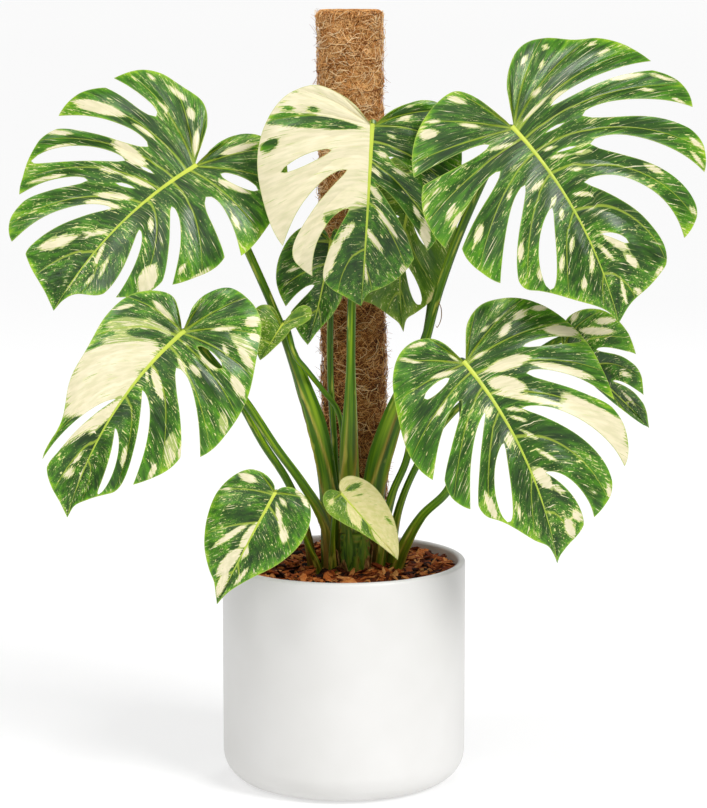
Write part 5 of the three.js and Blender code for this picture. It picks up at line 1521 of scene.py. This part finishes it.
# For each leaf its part of the view, then for its right and its left half how creamy it is all
# over and its strokes, laid on in this order. (x, y, x, y, width) is in pixels of the part, and
# [x, y, x, y, width] in flat mm. A negative width paints green. A sixth number is the share of
# cream where it isn't full.
STROKES = {
    "leaf_upper_left": (
        "upper left",
        (0, (1270, 562, 1480, 500, 34), (1250, 725, 1440, 800, 28), (1340, 930, 1385, 1020, 24),
         (845, 950, 850, 1030, 28), (880, 1230, 790, 1400, 105), (570, 1100, 500, 1240, 22),
         (590, 1190, 545, 1300, 20), (400, 1250, 250, 1345, 14), (500, 1290, 460, 1350, 14),
         (450, 1120, 400, 1210, 12), (1060, 1230, 1020, 1280, 24), (1240, 1230, 1080, 1320, 12)),
        (0, (690, 325, 380, 240, 70), (870, 470, 740, 380, 18), (820, 640, 620, 480, 75),
         (600, 460, 470, 400, 22), (380, 440, 200, 420, 22), (380, 505, 220, 540, 24),
         (330, 690, 110, 740, 18), (860, 770, 690, 690, 20), (660, 680, 540, 640, 16),
         (730, 825, 520, 800, 32), (660, 880, 460, 850, 32), (400, 1060, 180, 1130, 45),
         (600, 1020, 450, 1050, 18), (1060, 240, 960, 160, 28), (1105, 360, 1078, 285, 36),
         (1112, 570, 1130, 420, 28), (870, 120, 830, 85, 18), (960, 320, 890, 240, 12))),
    "leaf_middle_top": (
        "middle",
        (0, (940, 370, 990, 390, 14), (870, 490, 930, 515, 30), (1010, 270, 1100, 240, 18),
         (1070, 180, 1110, 165, 12), (800, 710, 900, 820, 28), (860, 860, 1010, 1070, 22),
         (780, 1010, 900, 1160, 28), (745, 1220, 800, 1380, 10), (1040, 1255, 1060, 1310, 50),
         (1120, 850, 1160, 950, 18), (1190, 950, 1200, 1130, 60), (830, 600, 890, 650, 14),
         (980, 600, 1060, 650, 12)),
        (1.5, [2, 10, -2, 104, -8], [1, 10, -12, 92, -6], [-3, 40, -8, 104, -9],
         (480, 200, 370, 185, -42), (310, 185, 190, 180, -34), (230, 270, 100, 285, -34),
         (200, 390, 60, 480, -76), (250, 130, 200, 150, -14), (310, 70, 270, 85, -12),
         (560, 910, 430, 1300, -22), [78, 20, 112, 10, -46], [112, 8, 200, 4, -60],
         (716, 961, 600, 1091, 42), [106, 24, 126, 34, 9], [118, 30, 150, 43, 11])),
    "leaf_upper_right": (
        "upper right",
        (0, (720, 90, 738, 70, 28), (605, 170, 632, 120, 18), (955, 75, 985, 55, 22),
         (700, 200, 720, 160, 14), (655, 340, 700, 300, 24), (620, 460, 740, 340, 12),
         (760, 375, 850, 310, 36), (1060, 260, 1230, 225, 22), (1000, 120, 1060, 90, 10),
         (1270, 225, 1390, 260, 14), (1220, 305, 1290, 310, 12), (1390, 350, 1450, 380, 14),
         (1480, 560, 1530, 600, 24), (1480, 630, 1540, 700, 20), (1250, 700, 1330, 730, 22),
         (1480, 920, 1510, 940, 22), (720, 612, 780, 600, 10), (750, 660, 840, 645, 10),
         (880, 640, 960, 625, 14), (860, 715, 920, 720, 10), (880, 850, 970, 850, 14),
         (1020, 1040, 1150, 1130, 38), (1130, 1150, 1210, 1220, 26), (1000, 1110, 1080, 1190, 14),
         (1300, 1260, 1350, 1220, 18), (1190, 1340, 1240, 1360, 18),
         (1120, 1290, 1150, 1420, 14)),
        (0, (310, 375, 225, 340, 28), (385, 500, 285, 480, 16), (175, 530, 70, 535, 42),
         (180, 465, 110, 465, 14), (70, 700, 45, 730, 28), (570, 580, 430, 620, 10),
         (250, 910, 210, 990, 20), (190, 820, 140, 840, 10), (120, 880, 105, 930, 12),
         (290, 950, 245, 1040, 26), (400, 1010, 360, 1100, 32), (310, 1020, 270, 1110, 34),
         (545, 830, 530, 880, 12), (600, 1100, 590, 1190, 26), (560, 1040, 545, 1100, 14),
         (690, 1230, 700, 1290, 26), (780, 870, 760, 900, 24), (820, 930, 800, 975, 22),
         (720, 780, 650, 830, 14), (880, 1070, 860, 1150, 18), (820, 1170, 800, 1250, 22),
         (930, 1280, 925, 1350, 26), (970, 1150, 970, 1260, 22))),
    "leaf_lower_left": (
        "lower left",
        (0, (1120, 320, 1280, 300, 24), (1340, 270, 1440, 260, 55), (1370, 350, 1450, 380, 36),
         (1240, 345, 1430, 500, 70, 0.5), (1290, 430, 1390, 570, 45), (1200, 420, 1230, 480, 20),
         (1040, 470, 1150, 580, 45), (1250, 620, 1330, 760, 55), (900, 500, 960, 610, 24),
         (980, 540, 1050, 620, 26), (1190, 850, 1210, 1010, 60, 0.5), (740, 570, 800, 760, 42),
         (880, 990, 840, 1220, 87, 0.5), (925, 1080, 925, 1200, 36), (760, 1200, 715, 1290, 26),
         (700, 600, 700, 650, 14), (565, 1080, 540, 1200, 26), (935, 410, 970, 415, 18)),
        (0, (870, 260, 740, 130, 28), (610, 155, 510, 180, 20), (860, 350, 420, 280, 127, 0.5),
         [24, 8, 62, 52, 12, 0.5], (830, 360, 560, 335, -55), (770, 440, 230, 470, 90),
         [60, 2, 120, 20, 26], (740, 480, 230, 580, 150), (640, 620, 180, 740, 190),
         (560, 700, 150, 870, 90), (540, 742, 90, 1085, -18), (430, 880, 50, 1130, 36),
         (280, 1120, 220, 1180, 12), (230, 1230, 150, 1280, 26), (310, 1210, 270, 1330, 10))),
    "leaf_lower_right": (
        "lower right",
        (0, (540, 230, 580, 200, 14), (610, 170, 640, 150, 12), (640, 260, 700, 180, 30),
         (720, 160, 790, 110, 32), (820, 100, 900, 90, 28), (490, 380, 560, 340, 18),
         (890, 215, 1090, 235, 55), (570, 445, 820, 370, 60), (820, 400, 1170, 490, 38),
         (580, 500, 780, 545, 75), (600, 570, 1000, 640, 26), (1000, 640, 1340, 820, 130),
         (1150, 750, 1345, 960, 120), (690, 655, 790, 670, 12), (700, 700, 780, 720, 10),
         (760, 780, 850, 830, 10), (850, 890, 960, 950, 12), (830, 990, 930, 1100, 55),
         (1010, 1270, 1060, 1380, 44), (940, 1090, 1000, 1130, 18), (1040, 1230, 1100, 1280, 30),
         (1240, 1080, 1260, 1150, 26)),
        (0, (390, 450, 260, 490, 24), (410, 395, 360, 360, 8), (200, 400, 80, 380, 12),
         (230, 290, 130, 320, 18), (330, 640, 290, 700, 18), (600, 660, 560, 700, 36),
         (700, 800, 690, 870, 50), (560, 1130, 620, 1280, 34), (120, 780, 115, 860, 14),
         (740, 1190, 750, 1280, 14))),
    "leaf_small_left": (
        "pot rim",
        (0, (620, 270, 660, 330, 26), (590, 310, 640, 560, 22), (640, 490, 655, 600, 48),
         (740, 220, 780, 250, 28), (775, 250, 830, 340, 22), (390, 780, 290, 900, 18),
         (380, 620, 345, 710, 40)),
        (0, (450, 150, 320, 95, 45), (270, 200, 205, 205, 16), (380, 460, 140, 620, 28),
         (465, 450, 330, 640, 60), (330, 640, 160, 830, 70), (240, 780, 165, 980, 50))),
    "leaf_small_front": (
        "pot rim",
        (1.5, (1090, 215, 1230, 160, -45), (1150, 255, 1240, 240, -14),
         (1370, 385, 1450, 470, -18), (1380, 420, 1440, 440, -8)),
        (0, (1110, 290, 1200, 490, 70), (1000, 275, 985, 320, 34), (1300, 480, 1460, 680, 60))),
    "leaf_back_left": (
        "middle", (0,), (0, (330, 1270, 250, 1300, 14), (270, 1370, 235, 1385, 8))),
    "leaf_back_right": ("upper right", (0, (160, 1340, 110, 1420, 18)), (0,)),
    "leaf_far_right": (
        "lower right",
        (0, (1180, 170, 1280, 160, 30), (1100, 215, 1280, 230, 40), (1050, 170, 1080, 110, 26),
         (1320, 455, 1370, 465, 18), (1330, 560, 1400, 640, 14)),
        (0,)),
    "leaf_curled": ("middle", (0.12,), (0.1,)),
}


def seen(points):
    """Where points in mm lie on the front view, in pixels right and down from its corner: across
    and up over depth, times the lens's focal length in pixels."""
    away = points * MM - VIEW["eye"]
    level, steep = math.cos(CAMERA["pitch"]), math.sin(CAMERA["pitch"])
    depth = away[..., 1] * level - away[..., 2] * steep
    rise = away[..., 1] * steep + away[..., 2] * level
    focal = CAMERA["lens"] / CAMERA["film"] * VIEW["high"]
    return np.stack([VIEW["wide"] / 2 + focal * away[..., 0] / depth,
                     VIEW["high"] / 2 - focal * rise / depth], -1)


def flat_strokes(leaf, half, sign, part, strokes):
    """Strokes in flat mm. A fine grid of places on the half is put on the front view, and each
    end of a stroke takes the place that comes nearest to it there, to 1 mm. Its width is taken to
    0.5 mm."""
    left, top, larger = PARTS[part]
    s, t = np.meshgrid(np.linspace(0, 1, 301), np.linspace(0, 1, 71), indexing="ij")
    places = half.point(s, t).reshape(-1, 2)
    shown = seen(bent(leaf, places[:, 0], places[:, 1] * sign))
    made = []
    for stroke in strokes:
        if isinstance(stroke, tuple):
            ends = np.reshape(stroke[:4], (2, 2)) / larger + [left, top]
            nearest = np.linalg.norm(shown[:, None] - ends, axis=-1).argmin(0)
            width = math.floor(2 * VIEW["mm"] * stroke[4] / larger + 0.5) / 2
            stroke = [*places[nearest].round().ravel(), width, *stroke[5:]]
        made.append(stroke)
    return made


print(sum(len(half) - 1 for _, *halves in STROKES.values() for half in halves), "strokes")

# %% Leaf blades
YOUNG = ("leaf_back_right", "leaf_curled", "leaf_small_front")

for number, (name, leaf) in enumerate(LEAVES.items()):
    halves = {side: Half(leaf, side) for side in ("right", "left")}
    part, *marks = STROKES[name]
    made = []
    for i, (side, half) in enumerate(halves.items()):
        strokes = flat_strokes(leaf, half, 1 - 2 * i, part, marks[i][1:])
        made.append(blade_half(leaf, halves, side, (marks[i][0], *strokes), 400 * (2 * number + i)))
    made.append(midrib(leaf))
    piece(name.replace("leaf", "fine_leaf"), joined([shape for shape, _ in made]),
          young if name in YOUNG else grown, [name],
          kinds=np.concatenate([kinds for _, kinds in made]))
